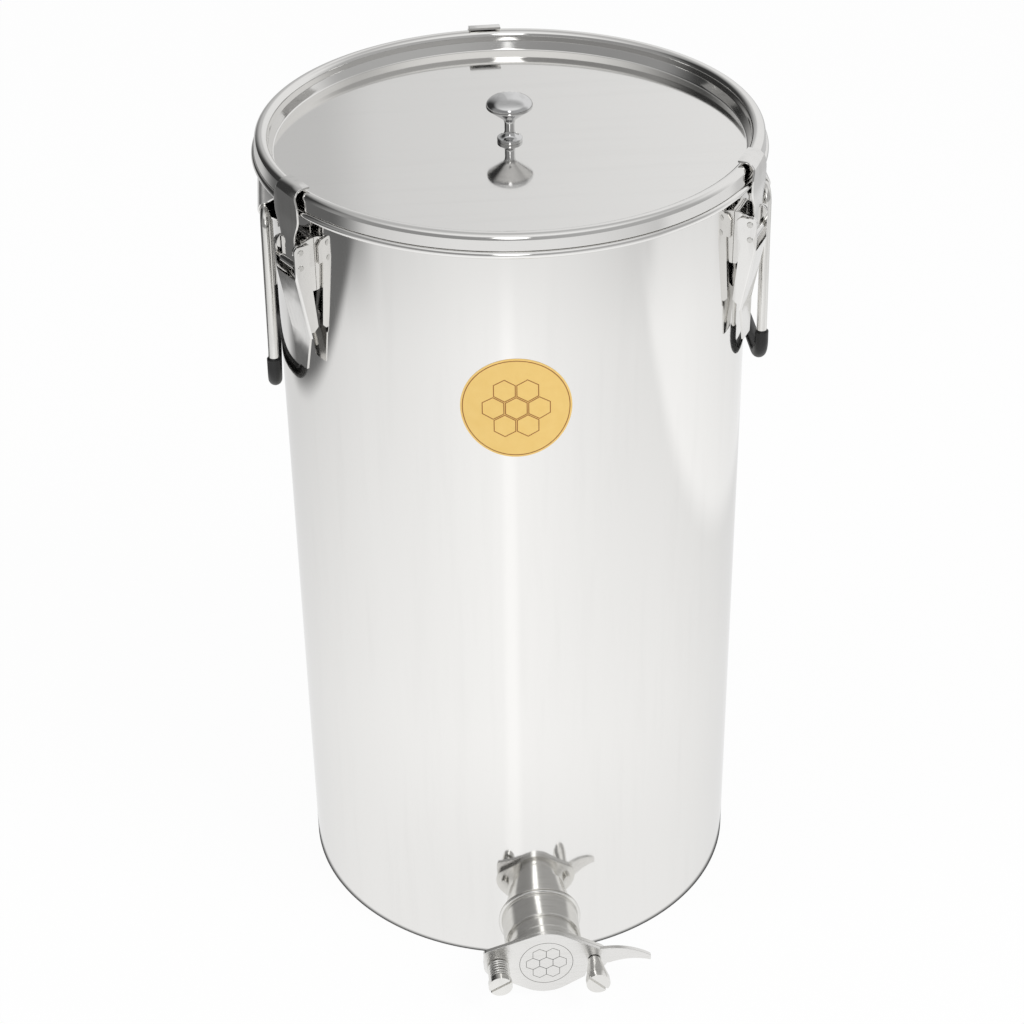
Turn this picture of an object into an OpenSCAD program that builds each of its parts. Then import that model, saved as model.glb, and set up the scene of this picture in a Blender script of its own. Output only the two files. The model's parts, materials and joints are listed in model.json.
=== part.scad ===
// Honey settling tank: a sheet steel drum with a clamped lid, two bail handles and a swing gate.
// Lengths are in millimetres. Z is up, the tank stands on z = 0 and the gate faces -Y.

/* [Tank] */
// Outer diameter of the tank wall
tank_d = 300; // [270:1:340]
// Height of the flat top of the rolled flange
tank_h = 546; // [450:1:650]
// Thickness of the rolled sheet of tank and lid
sheet_t = 0.8; // [0.6:0.05:1]
// Thickness of the bottom plate
base_t = 1.2; // [0.8:0.1:3]
// Reach of the flange beyond the wall
flange_reach = 10; // [9.8:0.1:11]
// Underside radius of the bend from the wall into the flange
flange_bend_r = 2.7; // [2:0.1:3.4]
// Outer radius of the curl along the flange's edge
curl_r = 2.3; // [1.8:0.1:3]

/* [Lid] */
// Height of the lid's crown above the flange
crown_h = 10; // [9:0.1:11.5]
// Depth of the lid's panel below the crown
lid_depth = 12.5; // [10:0.5:18]
// Corner radius of the lid's bead
bead_r = 4.5; // [3.8:0.1:4.6]
// How far the bead reaches inwards past the outside of the wall
bead_inset = 1; // [0.8:0.1:1.4]
// How far the bead's outer side stands back from the flange's edge
bead_setback = 1.6; // [1:0.1:1.8]
// Height of the leaning part of the lid's inner wall above the panel
lid_lean_h = 5.8; // [3.5:0.1:7]
// How far the lid's inner wall leans in from the bead to the panel
lid_lean = 2.2; // [1:0.1:4]
// Height of the skirt's edge above the flange
skirt_gap = 0.3; // [0.2:0.05:0.8]

/* [Lid knob] */
// Diameter of the knob's head
knob_d = 29; // [22:0.5:36]
// Height of the knob above the panel
knob_h = 30; // [26:0.5:38]
// Height of the head's widest ring above the panel
knob_rim_z = 24.5; // [21:0.5:25]
// Height where the neck opens into the head
knob_neck_z = 11; // [10:0.5:19]
// Diameter of the neck
knob_neck_d = 6.4; // [5.6:0.1:8]
// Diameter of the collar that stands on the panel
knob_collar_d = 15.8; // [13:0.1:20]
// Thickness of the collar
knob_collar_t = 2.2; // [1:0.1:4]
// Diameter of the screw that holds the knob from below
knob_screw_d = 4; // [3:0.5:4.5]
// Depth of the tapped hole in the knob
knob_hole_depth = 11; // [6:0.5:16]
// Diameter of the washer under the panel
washer_d = 14; // [10:0.5:20]
// Thickness of the washer
washer_t = 1; // [0.6:0.1:2]
// Diameter of the screw's head
knob_screw_head_d = 8; // [6:0.5:10]
// Height of the screw's head
knob_screw_head_h = 2.6; // [2:0.1:4]

/* [Lid clamps] */
// Direction of the front right clamp, the gate being at -90
clamp_right_angle = -27.5; // [-36:0.5:-27]
// Direction of the front left clamp
clamp_left_angle = -150; // [-151:1:-144]
// Direction of the rear clamp
clamp_rear_angle = 91; // [70:1:110]
// Distance of the lever's pivot from the wall
lever_pivot_x = 10.2; // [9.8:0.1:11]
// Depth of the lever's pivot below the flange
lever_pivot_drop = 27.5; // [26:0.5:33]
// Depth of the hook's pin below the lever's pivot
hook_pin_drop = 10; // [9:0.5:11]
// How much farther out the hook's pin lies than the lever's pivot
hook_pin_offset = 0.4; // [0:0.1:0.8]
// Diameter of the lever's rivets
lever_rivet_d = 3; // [2.5:0.5:4.5]
// Diameter of the hook's pin
hook_pin_d = 3; // [2.5:0.1:3.4]
// Thickness of the clamp's sheet steel
clamp_t = 1.5; // [1.2:0.1:1.8]
// Thickness of the hook's strap
hook_t = 1.4; // [1:0.1:1.6]
// Width of the hook's strap at the flange
hook_w = 26; // [18:0.5:27]
// Width of the hook's lip and bend
hook_lip_w = 21; // [16:0.5:24]
// Height above the flange where the strap is as narrow as the lip
hook_shoulder_rise = 9; // [6:0.5:10]
// Width of the hook's stem between the ears
hook_stem_w = 15.2; // [12:0.2:16]
// Gap between the hook and the flange's edge
hook_gap = 0.3; // [0.3:0.05:0.5]
// Gap between the hook's lip and the lid's crown
hook_lip_gap = 1; // [1:0.05:1.5]
// Reach of the hook's lip inwards from the strap
hook_lip_reach = 9.8; // [8:0.1:10]
// Depth below the flange where the hook starts to narrow
hook_taper_top = 6; // [4:0.5:9]
// Depth below the flange where the hook is as narrow as its stem
hook_taper_bottom = 22; // [15:0.5:25]
// Thickness of the base plate on the wall
clamp_plate_t = 2; // [1.2:0.1:2.4]
// Height of the base plate above the lever's pivot
clamp_plate_rise = 6.5; // [5:0.5:10]
// Depth of the base plate's lower edge below the lever's pivot
clamp_plate_drop = 28.5; // [22:0.5:36]
// Radius of the ears round the rivets
ear_r = 4.2; // [3.6:0.1:5]
// Reach of the ears' lower web from the wall
ear_web_x = 6; // [4:0.5:6.5]
// Length of the lever from its pivot to its tip
lever_len = 81.5; // [70:0.5:95]
// Depth of the lever's cheeks below the pivot
cheek_drop = 55; // [48:0.5:58]
// Depth of the front plate's top edge below the pivot
lever_plate_drop = 17.5; // [17:0.5:20]
// Distance of the front plate's top from the wall
lever_front_x = 14.4; // [14:0.1:16]
// Depth of the crease between front plate and tab below the pivot
lever_crease_drop = 59; // [58.5:0.5:64]
// Distance of the crease from the wall, on its outer face
lever_crease_x = 7; // [6:0.1:10]
// Distance of the lever's tip from the wall, on its outer face
lever_tip_x = 8; // [5:0.1:9]
// Width of the lever's tab at the crease
tab_w = 21; // [12:0.5:22]
// Width of the lever's tab at its tip
tab_tip_w = 12.5; // [8:0.5:16]
// Distance of the cheeks' rear edge from the wall
cheek_rear_x = 1.2; // [0.9:0.1:2]
// Height of the cheeks above the pivot
cheek_rise = 3.8; // [3:0.1:4.2]
// Depth of the notch in the cheeks' rear edge
cheek_notch = 3.6; // [2:0.1:5]

/* [Handles] */
// Diameter of the handle's rod
rod_d = 6.5; // [5:0.1:7]
// Distance between the handle's two legs
handle_w = 99.4; // [90:0.2:120]
// Distance from the handle's pivot down to its bar
handle_drop = 117; // [90:1:140]
// Distance of the handle's pivot from the wall
handle_pivot_x = 3; // [3:0.1:4.5]
// Depth of the handle's pivot below the flange
handle_pivot_drop = 22.5; // [15.5:0.5:30]
// Centre line radius of the bends at the bar
handle_bend_r = 13; // [10:0.5:20]
// Centre line radius of the bends at the pivot
stub_bend_r = 8; // [6:0.5:9]
// Diameter of the grip
grip_d = 8.8; // [8.2:0.1:11]
// Height that the grip climbs up each leg above the bar
grip_rise = 21; // [20:0.5:40]
// Length of the bracket along the pivot
bracket_len = 78; // [60:1:81]
// Thickness of the bracket's strip
bracket_t = 1.2; // [0.8:0.1:1.6]
// How far each stub reaches into the bracket
stub_reach = 14; // [8:0.5:24]
// Height of the bracket's upper flange above the pivot
bracket_rise = 9; // [8:0.5:9.5]
// Depth of the bracket's lower flange below the pivot
bracket_fall = 12; // [10:0.5:16]
// How far the bracket's webs spread towards the wall
bracket_spread = 7; // [3:0.5:9]

/* [Gate] */
// Height of the gate's axis above the floor
gate_z = 30; // [29.5:0.5:60]
// Diameter of the gate's bore
gate_bore_d = 39; // [34:0.5:41]
// Outer diameter of the threaded body
gate_thread_d = 47.8; // [45:0.1:48.5]
// Outer diameter of the socket on the wall
socket_d = 52; // [51:0.5:54]
// Length of the socket from the wall
socket_len = 21.5; // [18:0.5:26]
// Length of the thread inside the socket
thread_len = 15; // [8:0.5:17]
// Diameter of the weld round the socket
weld_d = 56.4; // [55:0.2:58]
// Height of the weld above the wall
weld_h = 1.6; // [0.8:0.1:3]
// Distance of the flange's rear face from the wall
gate_flange_x = 36; // [32:0.5:44]
// Thickness of the fixed flange
gate_flange_t = 3; // [2:0.1:4]
// Thickness of the blade
blade_t = 2.8; // [2:0.1:4]
// Diameter of the flange and of the blade's disc
blade_d = 52; // [50:0.5:54]
// Distance of the screws from the gate's axis
gate_screw_x = 32.5; // [32:0.5:36]
// Diameter of the gate's screws
gate_screw_d = 8; // [6:0.5:8.4]
// Diameter of the screws' heads
gate_head_d = 16; // [13:0.5:18]
// Thickness of the screws' heads
gate_head_h = 4.5; // [3:0.1:6]
// Width of the slots in the screws' heads
slot_w = 1.6; // [1:0.1:2.4]
// Depth of the slots in the screws' heads
slot_depth = 1.6; // [0.8:0.1:2.4]
// Distance of the pivot screw's face from the wall
pivot_face_x = 61; // [59:0.5:66]
// Distance of the lock screw's face from the wall
lock_face_x = 65; // [60:0.5:70]
// Radius of the ears round the screws
gate_ear_r = 9.6; // [8:0.1:11]
// Height of the blade's heel above the pivot screw
heel_rise = 11; // [4:0.5:12]
// Reach of the horn from the gate's axis
horn_reach = 71; // [58:0.5:74]
// Radius of the horn's upper edge
horn_top_r = 48.4; // [46:0.2:52]
// Radius of the horn's lower edge
horn_low_r = 41.4; // [38:0.2:44]
// Wire thickness of the pivot's spring
spring_wire_d = 1.5; // [1.2:0.1:1.7]
// Outer diameter of the spring
spring_d = 14.7; // [13:0.1:15.5]
// Number of the spring's curls
spring_curls = 5; // [3:1:5]

/* [Label] */
// Diameter of the round label
label_d = 67; // [40:1:90]
// Depth of the label's centre below the flange
label_drop = 107; // [75:1:200]
// Direction of the label's centre
label_angle = -94.4; // [-100:0.2:-80]
// Thickness of the label
label_t = 0.3; // [0.15:0.05:0.6]

/* [Hidden] */
$fn = 96;
wall_facets = 360;

// Cuts run past the faces that they cut by this much
overrun = 2;
// Gap at a welded or glued seat
weld_gap = 0.05;
// Radial gap of a pin that is riveted or screwed tight
press_gap = 0.02;
// Radial gap of a pin or shaft that turns
run_gap = 0.06;
// Gap between a rivet's head and the sheet that turns under it
head_gap = 0.08;
// Side gap between plates that swing past each other
side_gap = 0.4;
// Gap between the gasket and the flange, and between the blade and the gate's flange
seal_gap = 0.1;
// Gap between a hanging grip and the wall
rest_gap = 0.3;

// Rim heights and radii
tank_r = tank_d / 2;
tank_inner_r = tank_r - sheet_t;
bend_r = flange_bend_r + sheet_t;
bend_z = tank_h - bend_r;
curl_x = tank_r + flange_reach - curl_r;
curl_z = tank_h - curl_r;
crown_z = tank_h + crown_h;
bead_z = crown_z - bead_r;
bead_in_r = tank_r - bead_inset;
bead_out_r = tank_r + flange_reach - bead_setback;
panel_z = crown_z - lid_depth;
panel_r = bead_in_r - lid_lean;
skirt_z = tank_h + skirt_gap;
lean_z = panel_z + lid_lean_h;

// Knob radii and the sphere that its dome is cut from
knob_r = knob_d / 2;
neck_r = knob_neck_d / 2;
collar_r = knob_collar_d / 2;
flare_r = collar_r - neck_r;
dome_h = knob_h - knob_rim_z;
dome_r = (knob_r * knob_r + dome_h * dome_h) / (2 * dome_h);
knob_screw_r = knob_screw_d / 2;
knob_rim_t = 0.8;

// Clamp places, measured outwards from the wall and up from the floor
pivot_z = tank_h - lever_pivot_drop;
hook_pin_x = lever_pivot_x + hook_pin_offset;
hook_pin_z = pivot_z - hook_pin_drop;
hook_in_x = flange_reach + hook_gap;
hook_bend_r = bead_r + hook_lip_gap;
hook_bend_x = hook_in_x - hook_bend_r;
hook_bend_z = crown_z + hook_lip_gap - hook_bend_r;
hook_eye_r = hook_pin_d / 2 + run_gap + hook_t;
hook_tip_x = hook_in_x - hook_lip_reach;
hook_stem_gap = 0.9;
ear_in_y = hook_stem_w / 2 + hook_stem_gap;
ear_out_y = ear_in_y + clamp_t;
cheek_in_y = ear_out_y + side_gap;
cheek_out_y = cheek_in_y + clamp_t;
rivet_r = lever_rivet_d / 2;
hook_pin_r = hook_pin_d / 2;
rivet_head_share = 0.35;
rivet_head_r = rivet_r + clamp_t * rivet_head_share;
rivet_head_h = 0.4;
pin_head_r = hook_pin_r + clamp_t * rivet_head_share;
pin_head_h = 0.4;
plate_top_z = pivot_z + clamp_plate_rise;
plate_low_z = pivot_z - clamp_plate_drop;
ear_low_z = pivot_z - clamp_plate_drop + clamp_plate_rise;
ear_neck_share = 0.8;
ear_neck = ear_r * ear_neck_share;
cheek_top_z = pivot_z + cheek_rise;
cheek_low_z = pivot_z - cheek_drop;
lever_plate_z = pivot_z - lever_plate_drop;
lever_tip_z = pivot_z - lever_len;
lever_crease_z = pivot_z - lever_crease_drop;
lever_lean = (lever_front_x - lever_crease_x) / (lever_plate_z - lever_crease_z);
cheek_low_x = lever_front_x - lever_lean * (lever_plate_z - cheek_low_z);
cheek_corner_r = 3;
cheek_notch_drop = 1;
notch_z = pivot_z - hook_pin_drop - cheek_notch_drop;

// Handle places in the frame of its pivot
rod_r = rod_d / 2;
grip_r = grip_d / 2;
leg_y = handle_w / 2;
handle_z = tank_h - handle_pivot_drop;
handle_lean = asin((grip_r + rest_gap - handle_pivot_x) / handle_drop);
stub_in_y = bracket_len / 2 - stub_reach;
hump_in_r = rod_r + run_gap;
hump_out_r = hump_in_r + bracket_t;
web_root_x = -flange_reach - handle_pivot_x;
flange_strip = 6;

// Gate places, measured outwards from the tank's axis along the gate's own axis
socket_r = socket_d / 2;
thread_r = gate_thread_d / 2;
bore_r = gate_bore_d / 2;
blade_r = blade_d / 2;
gate_screw_r = gate_screw_d / 2;
gate_head_r = gate_head_d / 2;
socket_end = tank_r + socket_len;
flange_rear = tank_r + gate_flange_x;
flange_front = flange_rear + gate_flange_t;
blade_rear = flange_front + seal_gap;
blade_front = blade_rear + blade_t;
pivot_face = tank_r + pivot_face_x;
lock_face = tank_r + lock_face_x;
screw_tail = 3;
groove_t = 0.8;
groove_depth = 0.5;
groove_share = 0.6;
notch_gap = 0.4;
heel_corner_r = 3;
neck_start = blade_front + notch_gap;
horn_root_x = gate_screw_x - gate_screw_r;
horn_top_x = 42.5;
horn_top_y = -39.3;
horn_low_x = 56.7;
horn_low_y = -43;

// Spring places along the pivot screw
spring_r = (spring_d - spring_wire_d) / 2;
spring_from = blade_front + seal_gap;
spring_to = pivot_face - gate_head_h - seal_gap;
spring_steps = 8;
spring_sides = 6;
spring_pitch = (spring_to - spring_from - 2 * spring_wire_d) / spring_curls;

// Label place
label_z = tank_h - label_drop;

// Tank

// Half section of the wall, its bend and the curled flange
module tank_section() {
    translate([tank_inner_r, 0])
        square([sheet_t, bend_z]);
    intersection() {
        translate([tank_r + flange_bend_r, bend_z])
            ring_section(bend_r, flange_bend_r);
        translate([tank_inner_r, bend_z])
            square(bend_r);
    }
    translate([tank_r + flange_bend_r, tank_h - sheet_t])
        square([curl_x - tank_r - flange_bend_r, sheet_t]);
    intersection() {
        translate([curl_x, curl_z])
            ring_section(curl_r, curl_r - sheet_t);
        translate([curl_x, curl_z - curl_r])
            square([curl_r, 2 * curl_r]);
    }
}

// Flat ring between two radii
module ring_section(outer_r, inner_r) {
    difference() {
        circle(outer_r);
        circle(inner_r);
    }
}

// Removes the space that the tank's wall and inside take up
module outside_tank() {
    difference() {
        children();
        translate([0, 0, -overrun])
            cylinder(h = tank_h + 2 * overrun, r = tank_r + weld_gap, $fn = wall_facets);
    }
}

module tank_shell() {
    color("gainsboro")
        difference() {
            rotate_extrude()
                tank_section();
            gate_axis()
                cylinder(h = tank_r + overrun, r = bore_r);
        }
}

module tank_base() {
    color("silver")
        cylinder(h = base_t, r = tank_inner_r - weld_gap);
}

// Thin round patch that follows the wall
module label_disc() {
    color("goldenrod")
        intersection() {
            translate([0, 0, label_z - label_d])
                rotate_extrude()
                    translate([tank_r + weld_gap, 0])
                        square([label_t, 2 * label_d]);
            rotate([0, 0, label_angle])
                translate([0, 0, label_z])
                    rotate([0, 90, 0])
                        cylinder(h = tank_d, r = label_d / 2);
        }
}

// Lid

// Section of the bead, drawn in by a given thickness and open below
module bead_section(inset, low_z) {
    r = bead_r - inset;
    for (x = [bead_in_r + bead_r, bead_out_r - bead_r])
        intersection() {
            translate([x, bead_z])
                circle(r);
            translate([bead_in_r, bead_z])
                square([bead_out_r - bead_in_r, bead_r]);
        }
    translate([bead_in_r + bead_r, bead_z])
        square([bead_out_r - bead_in_r - 2 * bead_r, r]);
    translate([bead_in_r + inset, low_z])
        square([bead_out_r - bead_in_r - 2 * inset, bead_z - low_z]);
}

// Half section of the bead, the leaning wall and the sunken panel
module lid_section() {
    difference() {
        bead_section(0, skirt_z);
        bead_section(sheet_t, skirt_z - overrun);
        square([bead_in_r + sheet_t, lean_z]);
    }
    polygon([
        [panel_r, panel_z - sheet_t],
        [panel_r + sheet_t, panel_z - sheet_t],
        [bead_in_r + sheet_t, lean_z],
        [bead_in_r, lean_z],
        [panel_r, panel_z]
    ]);
    translate([0, panel_z - sheet_t])
        square([panel_r, sheet_t]);
}

module lid() {
    color("lightgray")
        difference() {
            rotate_extrude()
                lid_section();
            translate([0, 0, panel_z - sheet_t - overrun])
                cylinder(h = sheet_t + 2 * overrun, r = knob_screw_r + press_gap);
        }
}

module lid_gasket() {
    color("white")
        rotate_extrude()
            bead_section(sheet_t + weld_gap, tank_h + seal_gap);
}

// Half section of the knob: collar, flare, neck, head and dome
module knob_section() {
    square([collar_r, knob_collar_t]);
    difference() {
        translate([0, knob_collar_t])
            square([collar_r, flare_r]);
        translate([collar_r, knob_collar_t + flare_r])
            circle(flare_r);
    }
    square([neck_r, knob_rim_z]);
    polygon([
        [0, knob_neck_z],
        [neck_r, knob_neck_z],
        [knob_r, knob_rim_z - knob_rim_t],
        [knob_r, knob_rim_z],
        [0, knob_rim_z]
    ]);
    intersection() {
        translate([0, knob_h - dome_r])
            circle(dome_r);
        translate([0, knob_rim_z])
            square([knob_r, dome_h]);
    }
}

module lid_knob() {
    color("silver")
        translate([0, 0, panel_z])
            difference() {
                rotate_extrude()
                    knob_section();
                translate([0, 0, -overrun])
                    cylinder(h = knob_hole_depth + overrun, r = knob_screw_r + press_gap);
            }
}

module knob_washer() {
    color("silver")
        translate([0, 0, panel_z - sheet_t - washer_t])
            difference() {
                cylinder(h = washer_t, r = washer_d / 2);
                translate([0, 0, -overrun])
                    cylinder(h = washer_t + 2 * overrun, r = knob_screw_r + press_gap);
            }
}

module knob_screw() {
    head_top = panel_z - sheet_t - washer_t;
    shaft_top = panel_z + knob_hole_depth - knob_screw_r;
    color("gray")
        union() {
            translate([0, 0, head_top - knob_screw_head_h])
                cylinder(h = knob_screw_head_h, r = knob_screw_head_d / 2);
            translate([0, 0, head_top])
                cylinder(h = shaft_top - head_top, r = knob_screw_r);
        }
}

// Clamps

// Puts a clamp at its place on the wall: x points outwards from the wall
module at_clamp(angle) {
    rotate([0, 0, angle])
        translate([tank_r, 0, 0])
            children();
}

// Extrudes a side view, drawn outwards and up, between two distances across the clamp
module across(from_y, to_y) {
    translate([0, to_y, 0])
        rotate([90, 0, 0])
            linear_extrude(height = to_y - from_y)
                children();
}

// Repeats a piece on both sides of the clamp
module both_sides() {
    children();
    mirror([0, 1, 0])
        children();
}

// Side view of an ear: a round end about the rivet and a web down the plate
module ear_outline() {
    difference() {
        union() {
            translate([lever_pivot_x, pivot_z])
                circle(ear_r);
            polygon([
                [0, plate_low_z],
                [clamp_plate_t, plate_low_z],
                [ear_web_x, ear_low_z],
                [ear_web_x, pivot_z - ear_neck],
                [lever_pivot_x, pivot_z - ear_neck],
                [lever_pivot_x, pivot_z + ear_neck],
                [clamp_plate_t, plate_top_z],
                [0, plate_top_z]
            ]);
        }
        translate([lever_pivot_x, pivot_z])
            circle(rivet_r + press_gap);
    }
}

module clamp_base(angle) {
    color("silver")
        outside_tank()
            at_clamp(angle) {
                across(-ear_out_y, ear_out_y)
                    translate([-clamp_plate_t, plate_low_z])
                        square([2 * clamp_plate_t, plate_top_z - plate_low_z]);
                both_sides()
                    across(ear_in_y, ear_out_y)
                        ear_outline();
            }
}

// Two short rivets that leave room for the hook's stem between them
module clamp_rivets(angle) {
    color("gray")
        at_clamp(angle)
            both_sides()
                translate([lever_pivot_x, ear_in_y, pivot_z])
                    rotate([-90, 0, 0]) {
                        cylinder(h = cheek_out_y + head_gap - ear_in_y, r = rivet_r);
                        translate([0, 0, cheek_out_y + head_gap - ear_in_y])
                            cylinder(h = rivet_head_h, r1 = rivet_head_r, r2 = rivet_r);
                    }
}

// Side view of a lever's cheek
module cheek_outline() {
    difference() {
        union() {
            polygon([
                [cheek_rear_x, notch_z],
                [cheek_rear_x, cheek_top_z - cheek_corner_r],
                [cheek_rear_x + cheek_corner_r, cheek_top_z],
                [lever_front_x - cheek_corner_r, cheek_top_z],
                [lever_front_x, cheek_top_z - cheek_corner_r],
                [lever_front_x, lever_plate_z],
                [cheek_low_x, cheek_low_z],
                [cheek_rear_x + cheek_corner_r, cheek_low_z],
                [cheek_rear_x, cheek_low_z + cheek_corner_r],
                [cheek_rear_x + cheek_notch, notch_z]
            ]);
            translate([lever_front_x - cheek_corner_r, cheek_top_z - cheek_corner_r])
                circle(cheek_corner_r);
        }
        translate([lever_pivot_x, pivot_z])
            circle(rivet_r + run_gap);
        translate([hook_pin_x, hook_pin_z])
            circle(hook_pin_r + press_gap);
    }
}

// Side view of the front plate or the tab between two places on its outer face
module front_strip(top_x, top_z, low_x, low_z) {
    polygon([
        [top_x - clamp_t, top_z],
        [top_x, top_z],
        [low_x, low_z],
        [low_x - clamp_t, low_z]
    ]);
}

module clamp_lever(angle) {
    color("gainsboro")
        at_clamp(angle) {
            both_sides()
                across(cheek_in_y, cheek_out_y)
                    cheek_outline();
            across(-cheek_out_y, cheek_out_y)
                front_strip(lever_front_x, lever_plate_z, lever_crease_x, lever_crease_z);
            intersection() {
                across(-cheek_out_y, cheek_out_y)
                    front_strip(lever_crease_x, lever_crease_z, lever_tip_x, lever_tip_z);
                rotate([90, 0, 90])
                    linear_extrude(height = tank_r)
                        polygon([
                            [-tab_w / 2, lever_crease_z],
                            [-tab_tip_w / 2, lever_tip_z],
                            [tab_tip_w / 2, lever_tip_z],
                            [tab_w / 2, lever_crease_z]
                        ]);
            }
        }
}

module clamp_hook_pin(angle) {
    half_len = cheek_out_y + press_gap;
    color("gray")
        at_clamp(angle)
            translate([hook_pin_x, 0, hook_pin_z])
                rotate([90, 0, 0]) {
                    cylinder(h = 2 * half_len, r = hook_pin_r, center = true);
                    for (side = [0, 180])
                        rotate([side, 0, 0])
                            translate([0, 0, half_len])
                                cylinder(h = pin_head_h, r1 = pin_head_r, r2 = hook_pin_r);
                }
}

// Side view of the hook: an eye on the pin, the stem, the bend over the rim and the lip
module hook_outline() {
    translate([hook_pin_x, hook_pin_z])
        circle(hook_eye_r);
    translate([hook_in_x, hook_pin_z])
        square([hook_t, hook_bend_z - hook_pin_z]);
    intersection() {
        translate([hook_bend_x, hook_bend_z])
            ring_section(hook_bend_r + hook_t, hook_bend_r);
        translate([hook_bend_x, hook_bend_z])
            square(hook_bend_r + hook_t);
    }
    translate([hook_tip_x, hook_bend_z + hook_bend_r])
        square([hook_bend_x - hook_tip_x, hook_t]);
}

module clamp_hook(angle) {
    top_z = hook_bend_z + hook_bend_r + hook_t + overrun;
    low_z = hook_pin_z - hook_eye_r - overrun;
    color("gainsboro")
        at_clamp(angle)
            difference() {
                intersection() {
                    across(-hook_w / 2, hook_w / 2)
                        hook_outline();
                    translate([-tank_r / 2, 0, 0])
                        rotate([90, 0, 90])
                            linear_extrude(height = tank_r)
                                polygon([
                                    [-hook_lip_w / 2, top_z],
                                    [-hook_lip_w / 2, tank_h + hook_shoulder_rise],
                                    [-hook_w / 2, tank_h],
                                    [-hook_w / 2, tank_h - hook_taper_top],
                                    [-hook_stem_w / 2, tank_h - hook_taper_bottom],
                                    [-hook_stem_w / 2, low_z],
                                    [hook_stem_w / 2, low_z],
                                    [hook_stem_w / 2, tank_h - hook_taper_bottom],
                                    [hook_w / 2, tank_h - hook_taper_top],
                                    [hook_w / 2, tank_h],
                                    [hook_lip_w / 2, tank_h + hook_shoulder_rise],
                                    [hook_lip_w / 2, top_z]
                                ]);
                }
                translate([hook_pin_x, 0, hook_pin_z])
                    rotate([90, 0, 0])
                        cylinder(h = hook_w, r = hook_pin_r + run_gap, center = true);
            }
}

// Handles

// Puts a handle's pivot at its place on the wall: y runs along the pivot
module at_handle(angle) {
    rotate([0, 0, angle])
        translate([tank_r + handle_pivot_x, 0, handle_z])
            children();
}

// Quarter of a bent round bar, starting on y and turning towards z or away from it
module bar_bend(r, bend, up) {
    rotate([up ? 90 : -90, 0, 90])
        rotate_extrude(angle = 90)
            translate([bend, 0])
                circle(r);
}

// Round bar along the handle's lower edge and up both legs to a given height
module handle_bar(r, leg_top) {
    bend_y = leg_y - handle_bend_r;
    bend_low = handle_bend_r - handle_drop;
    translate([0, -bend_y, -handle_drop])
        rotate([-90, 0, 0])
            cylinder(h = 2 * bend_y, r = r);
    both_sides() {
        translate([0, bend_y, bend_low])
            bar_bend(r, handle_bend_r, false);
        translate([0, leg_y, bend_low])
            cylinder(h = leg_top - bend_low, r = r);
    }
}

module handle_bail(angle) {
    color("silver")
        at_handle(angle)
            rotate([0, -handle_lean, 0]) {
                handle_bar(rod_r, -stub_bend_r);
                both_sides() {
                    translate([0, leg_y - stub_bend_r, -stub_bend_r])
                        bar_bend(rod_r, stub_bend_r, true);
                    translate([0, stub_in_y, 0])
                        rotate([-90, 0, 0])
                            cylinder(h = leg_y - stub_bend_r - stub_in_y, r = rod_r);
                }
            }
}

module handle_grip(angle) {
    grip_top = grip_rise - handle_drop;
    color("#1a1a1a")
        at_handle(angle)
            rotate([0, -handle_lean, 0])
                difference() {
                    handle_bar(grip_r, grip_top);
                    handle_bar(rod_r + weld_gap, grip_top + overrun);
                }
}

// Side view of the bracket's hump and webs for a given inner or outer radius
module hump_outline(r) {
    circle(r);
    polygon([
        [0, -r],
        [0, r],
        [web_root_x, r + bracket_spread],
        [web_root_x, -r - bracket_spread]
    ]);
}

module handle_bracket(angle) {
    color("silver")
        outside_tank() {
            at_handle(angle)
                across(-bracket_len / 2, bracket_len / 2)
                    difference() {
                        hump_outline(hump_out_r);
                        hump_outline(hump_in_r);
                    }
            intersection() {
                union()
                    for (low_z = [handle_z + bracket_rise - flange_strip, handle_z - bracket_fall])
                        translate([0, 0, low_z])
                            cylinder(h = flange_strip, r = tank_r + weld_gap + bracket_t, $fn = wall_facets);
                at_handle(angle)
                    translate([-tank_r / 2, -bracket_len / 2, -handle_z])
                        cube([tank_r, bracket_len, tank_h]);
            }
        }
}

// Gate

// Turns a piece drawn along z to point outwards along the gate's axis, with its y upwards
module gate_axis() {
    translate([0, 0, gate_z])
        rotate([90, 0, 0])
            children();
}

module gate_weld() {
    color("silver")
        outside_tank()
            difference() {
                intersection() {
                    gate_axis()
                        cylinder(h = tank_d, r = weld_d / 2);
                    cylinder(h = tank_h, r = tank_r + weld_h, $fn = wall_facets);
                }
                gate_axis()
                    cylinder(h = tank_d, r = socket_r + weld_gap);
            }
}

module gate_socket() {
    color("silver")
        outside_tank()
            gate_axis()
                difference() {
                    cylinder(h = socket_end, r = socket_r);
                    cylinder(h = socket_end + overrun, r = thread_r + press_gap);
                }
}

// Outline of the flange: a disc with an ear round each screw
module gate_flange_outline() {
    hull() {
        circle(blade_r);
        for (x = [-gate_screw_x, gate_screw_x])
            translate([x, 0])
                circle(gate_ear_r);
    }
}

module gate_body() {
    groove_z = socket_end + groove_share * (flange_rear - socket_end);
    color("silver")
        gate_axis()
            difference() {
                union() {
                    translate([0, 0, socket_end - thread_len])
                        cylinder(h = flange_rear - socket_end + thread_len, r = thread_r);
                    translate([0, 0, flange_rear])
                        linear_extrude(height = gate_flange_t)
                            gate_flange_outline();
                }
                cylinder(h = flange_front + overrun, r = bore_r);
                translate([0, 0, groove_z])
                    rotate_extrude()
                        translate([thread_r - groove_depth, 0])
                            square([overrun, groove_t]);
                for (x = [-gate_screw_x, gate_screw_x])
                    translate([x, 0, flange_rear - overrun])
                        cylinder(h = gate_flange_t + 2 * overrun, r = gate_screw_r + press_gap);
            }
}

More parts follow.
